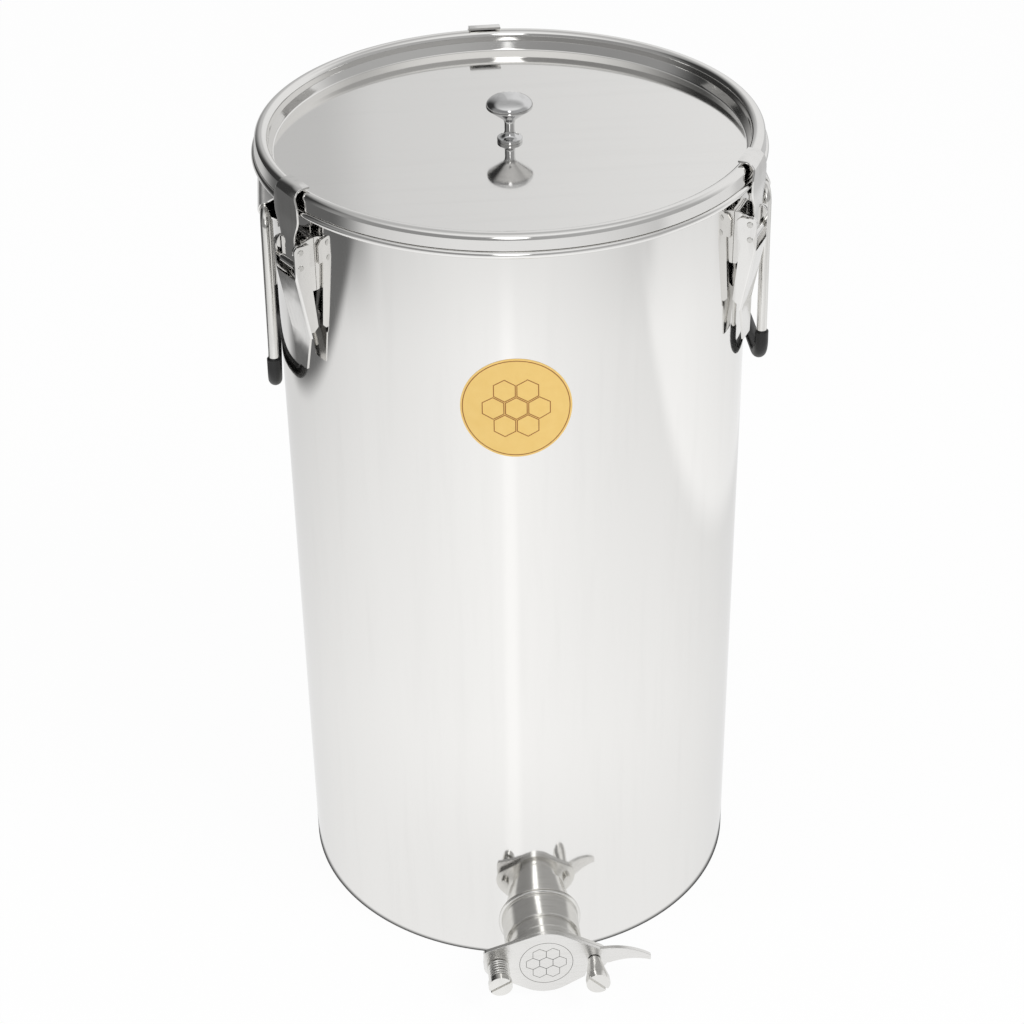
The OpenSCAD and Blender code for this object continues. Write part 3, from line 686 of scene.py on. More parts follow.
def polygon_band(centre: Array, radius: float, corners: int, width: float,
                 thickness: float) -> tuple[Array, Array]:
    """Thin closed band along a regular polygon, as a loop of four rows.

    The polygon's points at reach r are (r cos, r sin) at its corners, with straight edges between
    them. A hexagon stands on a corner and has more points on its edges, so that it can bend with
    the wall. The four rows are the inner and outer outlines, low and high.

    Args:
        centre: Centre of the polygon.
        radius: Corner radius of the band's middle.
        corners: Number of corners.
        width: Width of the band.
        thickness: Thickness of the band.

    Returns:
        Flat points and their lift.
    """
    between, turn = (EDGE_POINTS, CELL_TURN) if corners == HEXAGON else (1, 0.0)
    at = np.arange(corners * between) / between
    angle = np.radians(turn) + 2 * math.pi / corners * np.floor(at)
    after = angle + 2 * math.pi / corners
    share = (at - np.floor(at))[:, None]
    unit = ((1 - share) * np.column_stack([np.cos(angle), np.sin(angle)])
            + share * np.column_stack([np.cos(after), np.sin(after)]))
    half = width / 2 / math.cos(math.pi / corners)
    reach = np.array([radius - half, radius + half, radius + half, radius - half])
    lift = np.array([0.0, 0.0, thickness, thickness])
    return centre + reach[:, None, None] * unit[None], lift[:, None]


# Pieces


def dress(name: str, mesh: bpy.types.Mesh, finish: Finish, body: str,
          nodes: Sequence[str] = ()) -> bpy.types.Object:
    """Puts a mesh into the scene as a finished piece.

    Args:
        name: Name of the piece.
        mesh: Its mesh, in place.
        finish: Its finish.
        body: Moving body that carries it.
        nodes: Solids that it stands for.

    Returns:
        The new object.
    """
    piece = bpy.data.objects.new(name, mesh)
    mesh.materials.clear()
    mesh.materials.append(finish.material())
    bpy.context.scene.collection.objects.link(piece)
    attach(piece, body)
    if nodes:
        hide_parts(*nodes)
    LOG.info("%s on %s: %d points, %s", name, body, len(mesh.vertices), finish.name)
    return piece


def paint(solid: bpy.types.Object, finish: Finish) -> None:
    """Gives a solid that stays in view its finish.

    Args:
        solid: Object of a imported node.
        finish: Its finish.
    """
    solid.data.materials.clear()
    solid.data.materials.append(finish.material())
    LOG.info("%s kept as packed: %s", solid.name, finish.name)


def welded_copy(solid: bpy.types.Object, name: str) -> bpy.types.Mesh:
    """Copies a solid's mesh, merges its loose triangles and joins flat neighbours.

    Args:
        solid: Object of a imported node.
        name: Name of the new mesh.

    Returns:
        The new mesh, smooth but for its sharp edges.
    """
    made = bpy.data.meshes.new(name)
    tidy = bmesh.new()
    tidy.from_mesh(solid.data)
    bmesh.ops.remove_doubles(tidy, verts=tidy.verts, dist=SOLID_WELD)
    bmesh.ops.dissolve_limit(tidy, angle_limit=FLAT_ANGLE, verts=tidy.verts, edges=tidy.edges)
    tidy.to_mesh(made)
    tidy.free()
    for spare in ("custom_normal", "sharp_edge", "sharp_face"):
        if spare in made.attributes:
            made.attributes.remove(made.attributes[spare])
    made.shade_smooth()
    made.set_sharp_from_angle(angle=SMOOTH_ANGLE)
    return made


def soften(piece: bpy.types.Object, edge: Edge) -> bpy.types.Object:
    """Rounds a piece's sharp edges as pressing, tumbling or turning leaves them.

    Args:
        piece: Object with crisp edges.
        edge: How far they are rounded.

    Returns:
        The same object.
    """
    bevel = piece.modifiers.new("softened edges", "BEVEL")
    bevel.width = edge.value
    bevel.segments = 3
    bevel.limit_method = "ANGLE"
    bevel.angle_limit = SMOOTH_ANGLE
    bevel.harden_normals = True
    return piece


# Sub-assemblies


@dataclass
class Drum:
    """The drum: rolled wall with its curled flange, bottom plate and label.

    Attributes:
        radius: Outer radius of the wall.
        height: Height of the flange's top.
        sheet: Thickness of the wall.
        flange: Reach of the flange beyond the wall.
        bend: Middle radius of the bend into the flange.
        curl: Middle radius of the curl at the flange's edge.
        bore: Radius of the hole behind the gate.
        bore_z: Height of that hole.
        label_radius: Radius of the label.
        label_z: Height of the label.
        label_turn: Direction of the label in degrees.
        label_gap: Glue between wall and label.
        label_thickness: Thickness of the label.
        border: Distance of the printed ring from the label's edge.
        cell: Radius of a printed comb cell.
        line: Width of a printed line.
        ink: Thickness of the ink.
        turns: Number of places round the wall.
    """

    radius: float = 150 * MM
    height: float = 546 * MM
    sheet: float = 0.8 * MM
    flange: float = 10 * MM
    bend: float = 3.1 * MM
    curl: float = 1.9 * MM
    bore: float = 19.5 * MM
    bore_z: float = 30 * MM
    label_radius: float = 33.5 * MM
    label_z: float = 439 * MM
    label_turn: float = -94.4
    label_gap: float = 0.05 * MM
    label_thickness: float = 0.3 * MM
    border: float = 1.43 * MM
    cell: float = 7.4 * MM
    line: float = 0.55 * MM
    ink: float = 0.03 * MM
    turns: int = 288

    def build(self, nodes: dict[str, bpy.types.Object]) -> None:
        """Builds and dresses the drum.

        Args:
            nodes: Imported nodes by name.
        """
        dress("wall_sheet", self.wall(), WALL_STEEL, "tank", ["tank_shell"])
        dress("label_film", self.label(), GOLD_FILM, "tank", ["label_disc"])
        dress("label_print", self.label_print(), LABEL_INK, "tank")
        paint(nodes["tank_base"], WALL_STEEL)

    def wall(self) -> bpy.types.Mesh:
        """Revolves the outline of the sheet: upright wall, bend, flange and curl, then the bore.

        Returns:
            The wall's mesh.
        """
        half = self.sheet / 2
        middle, top, out = self.radius - half, self.height - half, self.radius + self.flange - half
        low = top - 2 * self.curl
        path = rounded([
            (middle, half), (middle, 2 * self.bore_z), (middle, top, self.bend), (out, top, self.curl),
            (out, low, self.curl), (out - self.curl - half, low)], steps=12)
        whole = Surface().grid(revolve(sheet_loop(path, self.sheet), self.turns), wrap_rows=True)
        return self.drilled(whole.mesh("wall_sheet"))

    def drilled(self, mesh: bpy.types.Mesh) -> bpy.types.Mesh:
        """Cuts the bore behind the gate through the wall.

        Args:
            mesh: The whole wall.

        Returns:
            A new mesh with a round hole.
        """
        section = np.array([[0, 0], [self.bore, 0], [self.bore, self.radius], [0, self.radius]])
        x, z, depth = np.moveaxis(revolve(section, turns=64), -1, 0)
        across = np.stack([x, -depth - self.radius / 2, z + self.bore_z], axis=-1)
        cutter = bpy.data.objects.new("drill", Surface().grid(across).mesh("drill"))
        target = bpy.data.objects.new("drilled", mesh)
        for item in (cutter, target):
            bpy.context.scene.collection.objects.link(item)
        cut = target.modifiers.new("bore", "BOOLEAN")
        cut.object = cutter
        cut.solver = "EXACT"
        graph = bpy.context.evaluated_depsgraph_get()
        made = bpy.data.meshes.new_from_object(target.evaluated_get(graph))
        for item in (cutter, target):
            bpy.data.objects.remove(item)
        made.name = "wall_sheet"
        made.shade_smooth()
        made.set_sharp_from_angle(angle=SMOOTH_ANGLE)
        return made

    def on_wall(self, flat: Array, lift: Array | float) -> Array:
        """Wraps flat label points round the wall: x becomes an arc, y a height, lift a radius.

        Args:
            flat: Points with two last coordinates, from the label's centre.
            lift: Distance from the wall.

        Returns:
            Points in space.
        """
        turn = math.radians(self.label_turn) + flat[..., 0] / self.radius
        reach = self.radius + lift + 0 * turn
        return np.stack([reach * np.cos(turn), reach * np.sin(turn), self.label_z + flat[..., 1]], axis=-1)

    def label(self) -> bpy.types.Mesh:
        """Polar grid from the centre over the face, round the rim and back below the film.

        Returns:
            The label's mesh.
        """
        r, low, high = self.label_radius, self.label_gap, self.label_gap + self.label_thickness
        rim = self.label_thickness / 3
        rows = 12
        face = np.linspace(0, r - rim, rows)
        reach = np.concatenate([face, [r, r], face[::-1]])
        lift = np.concatenate([np.full(rows, high), [high - rim, low + rim], np.full(rows, low)])
        turn = np.linspace(0, 2 * math.pi, num=128, endpoint=False)
        flat = reach[:, None, None] * np.stack([np.cos(turn), np.sin(turn)], axis=-1)
        return Surface().grid(self.on_wall(flat, lift[:, None])).mesh("label_film")

    def label_print(self) -> bpy.types.Mesh:
        """A ring near the rim and a rosette of comb cells, each a thin closed band.

        Returns:
            The print's mesh.
        """
        low = self.label_gap + self.label_thickness
        made = Surface()
        ring_corners = 160
        bands = [(np.zeros(2), self.label_radius - self.border, ring_corners)]
        bands += [(centre, self.cell, HEXAGON) for centre in comb_centres(self.cell + self.line, rings=1)]
        for centre, radius, corners in bands:
            flat, lift = polygon_band(centre, radius, corners, self.line, self.ink)
            made.grid(self.on_wall(flat, low + lift), wrap_rows=True)
        return made.mesh("label_print")


@dataclass
class Lid:
    """The lid: pressed sheet with a bead and a sunken panel, with its knob, seal and fastening.

    Attributes:
        crown: Height of the crown.
        depth: Depth of the panel below the crown.
        sheet: Thickness of the sheet.
        bead_in: Inner radius of the bead.
        bead_out: Outer radius of the skirt's edge.
        bead: Outer radius of the bead's rounding.
        lean: How far the inner wall leans in.
        lean_z: Height where the inner wall starts to lean.
        flare: How far the skirt spreads towards its edge.
        skirt: Height of the skirt's edge.
        hole: Radius of the hole for the knob's screw.
        panel_bend: Middle radius of the bend from the panel into its wall.
        lean_bend: Middle radius of the bend where the wall starts to lean.
        turns: Number of places round the lid.
    """

    crown: float = 556 * MM
    depth: float = 12.5 * MM
    sheet: float = 0.8 * MM
    bead_in: float = 149 * MM
    bead_out: float = 158.4 * MM
    bead: float = 4 * MM
    lean: float = 2.2 * MM
    lean_z: float = 549.3 * MM
    flare: float = 1.1 * MM
    skirt: float = 546.3 * MM
    hole: float = 2.1 * MM
    panel_bend: float = 1.5 * MM
    lean_bend: float = 3 * MM
    turns: int = 288

    def build(self, nodes: dict[str, bpy.types.Object]) -> None:
        """Builds and dresses the lid.

        Args:
            nodes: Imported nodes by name.
        """
        dress("lid_sheet", self.pressing(), LID_STEEL, "lid", ["lid"])
        dress("knob_turned", Knob(self.crown - self.depth).turned(), CHROME, "lid", ["lid_knob"])
        paint(nodes["lid_gasket"], SILICONE)
        paint(nodes["knob_washer"], RIVET_STEEL)
        paint(nodes["knob_screw"], RIVET_STEEL)

    def pressing(self) -> bpy.types.Mesh:
        """Revolves the lid's sheet: panel, leaning wall, bead and skirt with round corners.

        Returns:
            The lid's mesh.
        """
        half = self.sheet / 2
        floor = self.crown - self.depth - half
        inner, outer, top = self.bead_in + half, self.bead_out - half, self.crown - half
        panel = inner - self.lean
        round_bead = self.bead - half
        path = rounded([
            (self.hole + half, floor), (panel / 2, floor), (panel, floor, self.panel_bend),
            (inner, self.lean_z, self.lean_bend), (inner, top, round_bead),
            (outer - self.flare, top, round_bead), (outer, self.skirt + half)], steps=14)
        whole = Surface().grid(revolve(sheet_loop(path, self.sheet), self.turns), wrap_rows=True)
        return whole.mesh("lid_sheet")


@dataclass
class Knob:
    """The lid's turned knob. Its heights are over the panel that it stands on.

    Attributes:
        foot: Height of the panel.
        collar: Radius of the collar at its foot.
        collar_top: Height of the collar.
        foot_edge: Rounding of the collar's lower edge.
        collar_edge: Rounding of the collar's upper edge.
        hollow: Radius of the hollow flare over the collar.
        hollow_z: Height of the hollow's centre, which lies over the collar's edge.
        hollow_start: Angle where the hollow leaves the collar, in degrees.
        hollow_end: Angle where it meets the neck, in degrees.
        neck: Radius of the neck.
        neck_z: Height where the neck turns out into the head.
        neck_bend: Radius of that turn.
        head: Radius of the head.
        head_low: Height of the head's lower corner.
        head_edge: Rounding of that corner.
        head_ring: Height where the dome starts.
        top: Height of the dome's top.
    """

    foot: float
    collar: float = 7.9 * MM
    collar_top: float = 2.2 * MM
    foot_edge: float = 0.4 * MM
    collar_edge: float = 0.5 * MM
    hollow: float = 4.7 * MM
    hollow_z: float = 7.1 * MM
    hollow_start: float = 262.0
    hollow_end: float = 180.0
    neck: float = 3.2 * MM
    neck_z: float = 13.6 * MM
    neck_bend: float = 5 * MM
    head: float = 14.5 * MM
    head_low: float = 22.2 * MM
    head_edge: float = 1.1 * MM
    head_ring: float = 23.4 * MM
    top: float = 30 * MM

    def turned(self) -> bpy.types.Mesh:
        """Revolves the knob: collar, hollow flare, thin neck, head with a round edge and a dome.

        The dome's half section is a quarter ellipse over the head's widest ring.

        Returns:
            The knob's mesh.
        """
        flare = arc((self.collar, self.hollow_z), self.hollow, self.hollow_start, self.hollow_end, steps=14)
        low = rounded([
            (0, 0), (self.collar, 0, self.foot_edge), (self.collar, self.collar_top, self.collar_edge),
            tuple(flare[0])], steps=5)
        stem = rounded([
            tuple(flare[-1]), (self.neck, self.neck_z, self.neck_bend),
            (self.head, self.head_low, self.head_edge), (self.head, self.head_ring)], steps=12)
        turn = np.linspace(0, math.pi / 2, num=24)[1:]
        rise = (self.top - self.head_ring) * np.sin(turn)
        dome = np.column_stack([self.head * np.cos(turn), self.head_ring + rise])
        section = np.vstack([low, flare[1:-1], stem, dome])
        section[:, 1] += self.foot
        return Surface().grid(revolve(section, turns=96)).mesh("knob_turned")


@dataclass
class Clamp:
    """One lid clamp: wall plate, lever, pins and the strap hook over the rim.

    Attributes:
        place: Name of the clamp's place, as in its nodes' names.
        turn: Direction of the clamp in degrees.
        wall: Radius of the tank's wall.
        strap: Thickness of the hook's strap.
        face: Distance of the strap's middle from the wall.
        top: Height of the lip's middle.
        bend: Middle radius of the bend over the rim.
        tip: Distance of the lip's edge from the wall.
        lip: Half width of the lip and the bend.
        wide: Half width of the hook at the flange.
        narrow: Half width of its stem.
        shoulder_top: Height where it is as narrow as the lip.
        shoulder_low: Height where it starts to narrow towards the lip.
        taper_top: Height where it starts to narrow towards the stem.
        taper_low: Height where it is as narrow as the stem.
        pin_x: Distance of the hook's pin from the wall.
        pin_z: Height of the hook's pin.
        pin_gap: Inner radius of the eye on the pin.
        plate_z: Height of the lever's front plate's top.
        cheek: Half width of the lever over its cheeks.
        fold: Width of the bevel that rounds the folds between the front plate and the cheeks.
        corner: Rounding of the strap's four edges.
        spacing: Distance between the rows along the strap.
    """

    place: str
    turn: float
    wall: float = 150 * MM
    strap: float = 1.4 * MM
    face: float = 11 * MM
    top: float = 557.7 * MM
    bend: float = 6.2 * MM
    tip: float = 0.5 * MM
    lip: float = 10.5 * MM
    wide: float = 13 * MM
    narrow: float = 7.6 * MM
    shoulder_top: float = 555 * MM
    shoulder_low: float = 546 * MM
    taper_top: float = 540 * MM
    taper_low: float = 524 * MM
    pin_x: float = 10.6 * MM
    pin_z: float = 508.5 * MM
    pin_gap: float = 1.56 * MM
    plate_z: float = 501 * MM
    cheek: float = 11.9 * MM
    fold: float = 1.6 * MM
    corner: float = 0.35 * MM
    spacing: float = 1.2 * MM

    def build(self, nodes: dict[str, bpy.types.Object]) -> None:
        """Builds and dresses the clamp.

        Args:
            nodes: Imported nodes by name.
        """
        place, hook = self.place, f"clamp_{self.place}_hook"
        dress(f"hook_{place}_strap", self.hook(), CLAMP_STEEL, f"hook_{place}", [hook])
        for part, body, finish, edge in (
                ("base", "tank", CLAMP_STEEL, Edge.PRESSED),
                ("lever", f"lever_{place}", CLAMP_STEEL, Edge.PRESSED),
                ("rivets", "tank", RIVET_STEEL, Edge.CRISP),
                ("hook_pin", f"lever_{place}", RIVET_STEEL, Edge.CRISP)):
            node = f"clamp_{place}_{part}"
            name = f"{part}_{place}_pressed"
            piece = dress(name, welded_copy(nodes[node], name), finish, body, [node])
            if part == "lever":
                self.round_folds(piece)
            soften(piece, edge)

    def round_folds(self, lever: bpy.types.Object) -> None:
        """Rounds the lever's two folds: the long edges at its sides below the front plate's top.

        Args:
            lever: The lever's dressed copy.
        """
        mesh = lever.data
        spots = np.empty(3 * len(mesh.vertices))
        mesh.vertices.foreach_get("co", spots)
        pairs = np.empty(2 * len(mesh.edges), dtype=np.int32)
        mesh.edges.foreach_get("vertices", pairs)
        x, y, z = spots.reshape(-1, 3)[pairs.reshape(-1, 2)].transpose(2, 0, 1)
        turn = math.radians(self.turn)
        across = np.abs(y * math.cos(turn) - x * math.sin(turn)).min(axis=1)
        out = (x * math.cos(turn) + y * math.sin(turn) - self.wall).min(axis=1)
        slack = 0.1 * MM
        upright = (np.ptp(z, axis=1) > self.cheek) & (z.max(axis=1) < self.plate_z + slack)
        folds = upright & (across > self.cheek - slack) & (out > self.cheek / 2)
        weight = mesh.attributes.new("bevel_weight_edge", "FLOAT", "EDGE")
        weight.data.foreach_set("value", folds.astype(np.float32))
        LOG.info("%s: %d folds rounded", lever.name, folds.sum())
        bevel = lever.modifiers.new("folds", "BEVEL")
        bevel.width = self.fold
        bevel.segments = 5
        bevel.limit_method = "WEIGHT"

    def put(self, points: Array) -> Array:
        """Turns points on the clamp into the frame.

        Args:
            points: Distance from the wall, place across and height.

        Returns:
            Points in space.
        """
        turn = math.radians(self.turn)
        out, side = points[..., 0] + self.wall, points[..., 1]
        x = out * math.cos(turn) - side * math.sin(turn)
        y = out * math.sin(turn) + side * math.cos(turn)
        return np.stack([x, y, points[..., 2]], axis=-1)

    def hook(self) -> bpy.types.Mesh:
        """A rounded strap section carried up the stem and over the rim, with an eye round the pin.

        The half width grows from the stem's to the flange's between the two taper heights, and
        shrinks to the lip's between the two shoulder heights, both along smooth steps.

        Returns:
            The hook's mesh.
        """
        start = self.pin_z + self.pin_gap + self.strap / 2
        line = resample(rounded([
            (self.face, start), (self.face, self.top, self.bend), (self.tip, self.top)],
            steps=24), self.spacing)
        along = tangents(line)
        normal = np.column_stack([-along[:, 1], along[:, 0]])
        taper = smooth_step(line[:, 1], self.taper_low, self.taper_top)
        shoulder = smooth_step(line[:, 1], self.shoulder_low, self.shoulder_top)
        width = self.narrow + (self.wide - self.narrow) * taper - (self.wide - self.lip) * shoulder
        steps = 4
        ring = np.vstack([arc((0, 0), self.corner, a, a + 90, steps) for a in (0, 90, 180, 270)])
        sign = np.repeat(np.array([[1, 1], [-1, 1], [-1, -1], [1, -1]]), steps, axis=0)
        thick = sign[:, 0] * (self.strap / 2 - self.corner) + ring[:, 0]
        across = sign[:, 1] * (width[:, None] - self.corner) + ring[:, 1]
        flat = line[:, None] + normal[:, None] * thick[None, :, None]
        points = np.stack([flat[..., 0], across, flat[..., 1]], axis=-1)
        made = Surface().grid(self.put(points), caps=True)
        inner, outer, half = self.pin_gap, self.pin_gap + self.strap, self.narrow
        eye = np.array([[inner, -half], [outer, -half], [outer, half], [inner, half]])
        x, z, y = np.moveaxis(revolve(eye, turns=48), -1, 0)
        round_pin = np.stack([x + self.pin_x, y, z + self.pin_z], axis=-1)
        return made.grid(self.put(round_pin), wrap_rows=True).mesh(f"hook_{self.place}_strap")


@dataclass
class Handle:
    """One bail handle: wall bracket, bent rod and the hose on its bar.

    Attributes:
        side: Name of the side, as in the nodes' names.
        sign: One for the side at +x, minus one for the side at -x.
        pivot_x: Distance of the pivot from the tank's axis.
        pivot_z: Height of the pivot.
        leg: Distance of each leg from the middle.
        stub: Distance of each stub's end from the middle.
        drop: Distance from the pivot to the bar.
        reach: How far the bar hangs outwards of the pivot.
        rod: Radius of the rod.
        hose: Radius of the hose.
        hose_rise: How far the hose climbs up each leg.
        hose_edge: Length over which the hose narrows to each end.
        hose_mouth: How much the hose's radius shrinks at its ends.
        hose_gap: Clearance between rod and hose.
        low_bend: Middle radius of the bends at the bar.
        top_bend: Middle radius of the bends at the pivot.
    """

    side: str
    sign: int
    pivot_x: float = 153 * MM
    pivot_z: float = 523.5 * MM
    leg: float = 49.7 * MM
    stub: float = 25 * MM
    drop: float = 117 * MM
    reach: float = 1.7 * MM
    rod: float = 3.25 * MM
    hose: float = 4.4 * MM
    hose_rise: float = 21 * MM
    hose_edge: float = 1.2 * MM
    hose_mouth: float = 0.96 * MM
    hose_gap: float = 0.05 * MM
    low_bend: float = 13 * MM
    top_bend: float = 8 * MM

    def build(self, nodes: dict[str, bpy.types.Object]) -> None:
        """Builds and dresses the handle.

        Args:
            nodes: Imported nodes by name.
        """
        side, body = self.side, f"handle_{self.side}"
        dress(f"bail_{side}_rod", self.bail(), ROD_STEEL, body, [f"handle_{side}_bail"])
        dress(f"grip_{side}_hose", self.grip(), HOSE, body, [f"handle_{side}_grip"])
        node, name = f"handle_{side}_bracket", f"bracket_{side}_pressed"
        soften(dress(name, welded_copy(nodes[node], name), CLAMP_STEEL, "tank", [node]), Edge.PRESSED)

    def put(self, path: Array) -> Array:
        """Turns points along and below the pivot into the frame, leaning out by the handle's reach.

        Args:
            path: Places along the pivot and heights over it.

        Returns:
            Points in space.
        """
        lean = math.asin(self.reach / self.drop)
        x = self.pivot_x - path[:, 1] * math.sin(lean)
        z = self.pivot_z + path[:, 1] * math.cos(lean)
        return np.column_stack([self.sign * x, path[:, 0], z])

    def normals(self, count: int) -> Array:
        """Repeats the handle's outward direction for each point.

        Args:
            count: Number of points.

        Returns:
            Unit vectors.
        """
        lean = math.asin(self.reach / self.drop)
        out = np.array([self.sign * math.cos(lean), 0, math.sin(lean)])
        return np.tile(out, (count, 1))

    def bail(self) -> bpy.types.Mesh:
        """A round rod carried along stub, leg, bar, leg and stub.

        Returns:
            The rod's mesh.
        """
        path = rounded([
            (self.stub, 0), (self.leg, 0, self.top_bend), (self.leg, -self.drop, self.low_bend),
            (-self.leg, -self.drop, self.low_bend), (-self.leg, 0, self.top_bend), (-self.stub, 0)],
            steps=16)
        path = self.put(resample(path, spacing=1.6 * MM))
        grid = tube(path, self.normals(len(path)), np.full(len(path), self.rod), sides=32)
        return Surface().grid(grid, caps=True).mesh(f"bail_{self.side}_rod")

    def grip(self) -> bpy.types.Mesh:
        """A hose carried along the bar and up both legs, rounded at its ends, with its bore.

        Near an end its radius falls off along a quarter ellipse.

        Returns:
            The hose's mesh.
        """
        top = self.hose_rise - self.drop
        line = resample(rounded([
            (self.leg, top), (self.leg, -self.drop, self.low_bend),
            (-self.leg, -self.drop, self.low_bend), (-self.leg, top)], steps=16), spacing=1.2 * MM)
        path = self.put(line)
        run = lengths_along(path)
        near = np.clip(np.minimum(run, run[-1] - run) / self.hose_edge, 0, 1)
        radius = self.hose - self.hose_mouth * (1 - np.sqrt(1 - (1 - near) ** 2))
        bore = np.full(len(path), self.rod + self.hose_gap)
        side = self.normals(len(path))
        outer, inner = tube(path, side, radius, sides=36), tube(path, side, bore, sides=36)
        hose = np.concatenate([outer, inner[::-1]])
        return Surface().grid(hose, wrap_rows=True).mesh(f"grip_{self.side}_hose")


@dataclass
class Gate:
    """The swing gate: weld, socket, body, blade, screws and spring.

    Attributes:
        z: Height of the gate's axis.
        wall: Radius of the tank's wall.
        weld: Middle radius of the weld.
        weld_width: Half width of the weld.
        weld_height: Height of the weld.
        weld_gap: Distance of the weld's underside from the wall.
        face: Distance of the blade's face from the tank's axis.
        screw: Distance of each screw from the gate's axis.
        ring: Radius of the ring marked on the blade.
        line: Width of a marked line.
        mark: Thickness of a marked line.
        cell: Radius of a marked comb cell.
        spring: Middle radius of the spring.
        wire: Radius of the spring's wire.
        spring_from: Start of the spring along the gate's axis.
        spring_to: End of the spring along the gate's axis.
        curls: Number of the spring's curls.
        ease: How much the spring's rise slows down at its ends.
        curl_points: Number of points along each curl.
    """

    z: float = 30 * MM
    wall: float = 150 * MM
    weld: float = 26.9 * MM
    weld_width: float = 1.3 * MM
    weld_height: float = 1.6 * MM
    weld_gap: float = 0.06 * MM
    face: float = 191.9 * MM
    screw: float = 32.5 * MM
    ring: float = 18 * MM
    line: float = 0.35 * MM
    mark: float = 0.02 * MM
    cell: float = 5.2 * MM
    spring: float = 6.6 * MM
    wire: float = 0.75 * MM
    spring_from: float = 192.75 * MM
    spring_to: float = 205.65 * MM
    curls: float = 6.0
    ease: float = 0.8
    curl_points: int = 28

    def build(self, nodes: dict[str, bpy.types.Object]) -> None:
        """Builds and dresses the gate.

        Args:
            nodes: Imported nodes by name.
        """
        for node, body, finish, edge in (
                ("gate_socket", "tank", TURNED_STEEL, Edge.TURNED),
                ("gate_body", "tank", TURNED_STEEL, Edge.PRESSED),
                ("gate_blade", "gate_blade", GROUND_STEEL, Edge.PRESSED),
                ("gate_pivot_screw", "tank", TURNED_STEEL, Edge.TURNED),
                ("gate_lock_screw", "lock_screw", TURNED_STEEL, Edge.TURNED)):
            name = f"{node}_dressed"
            soften(dress(name, welded_copy(nodes[node], name), finish, body, [node]), edge)
        dress("weld_bead", self.bead(), TURNED_STEEL, "tank", ["gate_weld"])
        dress("spring_coil", self.coil(), SPRING_STEEL, "tank", ["gate_spring"])
        dress("blade_mark", self.marking(), LASER_LINE, "gate_blade")

    def bead(self) -> bpy.types.Mesh:
        """A low oval carried round the socket along the wall.

        Each of its rows is a circle about the gate's axis, laid on the wall at its own lift:
        y = -sqrt((wall + lift)^2 - x^2).

        Returns:
            The weld's mesh.
        """
        turn = np.linspace(0, 2 * math.pi, num=144, endpoint=False)
        oval = np.linspace(0, 2 * math.pi, num=20, endpoint=False)[:, None]
        reach = self.weld + self.weld_width * np.cos(oval)
        x, z = reach * np.cos(turn), self.z + reach * np.sin(turn)
        lift = self.weld_gap + self.weld_height / 2 * (1 + np.sin(oval))
        y = -np.sqrt((self.wall + lift) ** 2 - x ** 2)
        return Surface().grid(np.stack([x, y, z], axis=-1), wrap_rows=True).mesh("weld_bead")

    def coil(self) -> bpy.types.Mesh:
        """Round wire along a helix whose rise is a little slower at both ends.

        The rise at share t is t - ease sin(2 pi t) / (2 pi curls).

        Returns:
            The spring's mesh.
        """
        share = np.linspace(0, 1, num=int(self.curls * self.curl_points))
        turn = 2 * math.pi * self.curls * share
        ease = share - self.ease / (2 * math.pi * self.curls) * np.sin(2 * math.pi * share)
        side = np.column_stack([np.cos(turn), 0 * turn, np.sin(turn)])
        path = side * self.spring + np.array([-self.screw, 0, self.z])
        path[:, 1] = -(self.spring_from + (self.spring_to - self.spring_from) * ease)
        grid = tube(path, side, np.full(len(path), self.wire), sides=14)
        return Surface().grid(grid, caps=True).mesh("spring_coil")

    def marking(self) -> bpy.types.Mesh:
        """A thin ring with a rosette of comb cells on the blade's face.

        Returns:
            The marking's mesh.
        """
        made = Surface()
        ring_corners = 120
        bands = [(np.zeros(2), self.ring, ring_corners)]
        bands += [(centre, self.cell, HEXAGON) for centre in comb_centres(self.cell, rings=1)]
        for centre, radius, corners in bands:
            flat, lift = polygon_band(centre, radius, corners, self.line, self.mark)
            y = -(self.face + lift) + 0 * flat[..., 0]
            made.grid(np.stack([flat[..., 0], y, flat[..., 1] + self.z], axis=-1), wrap_rows=True)
        return made.mesh("blade_mark")


# Studio


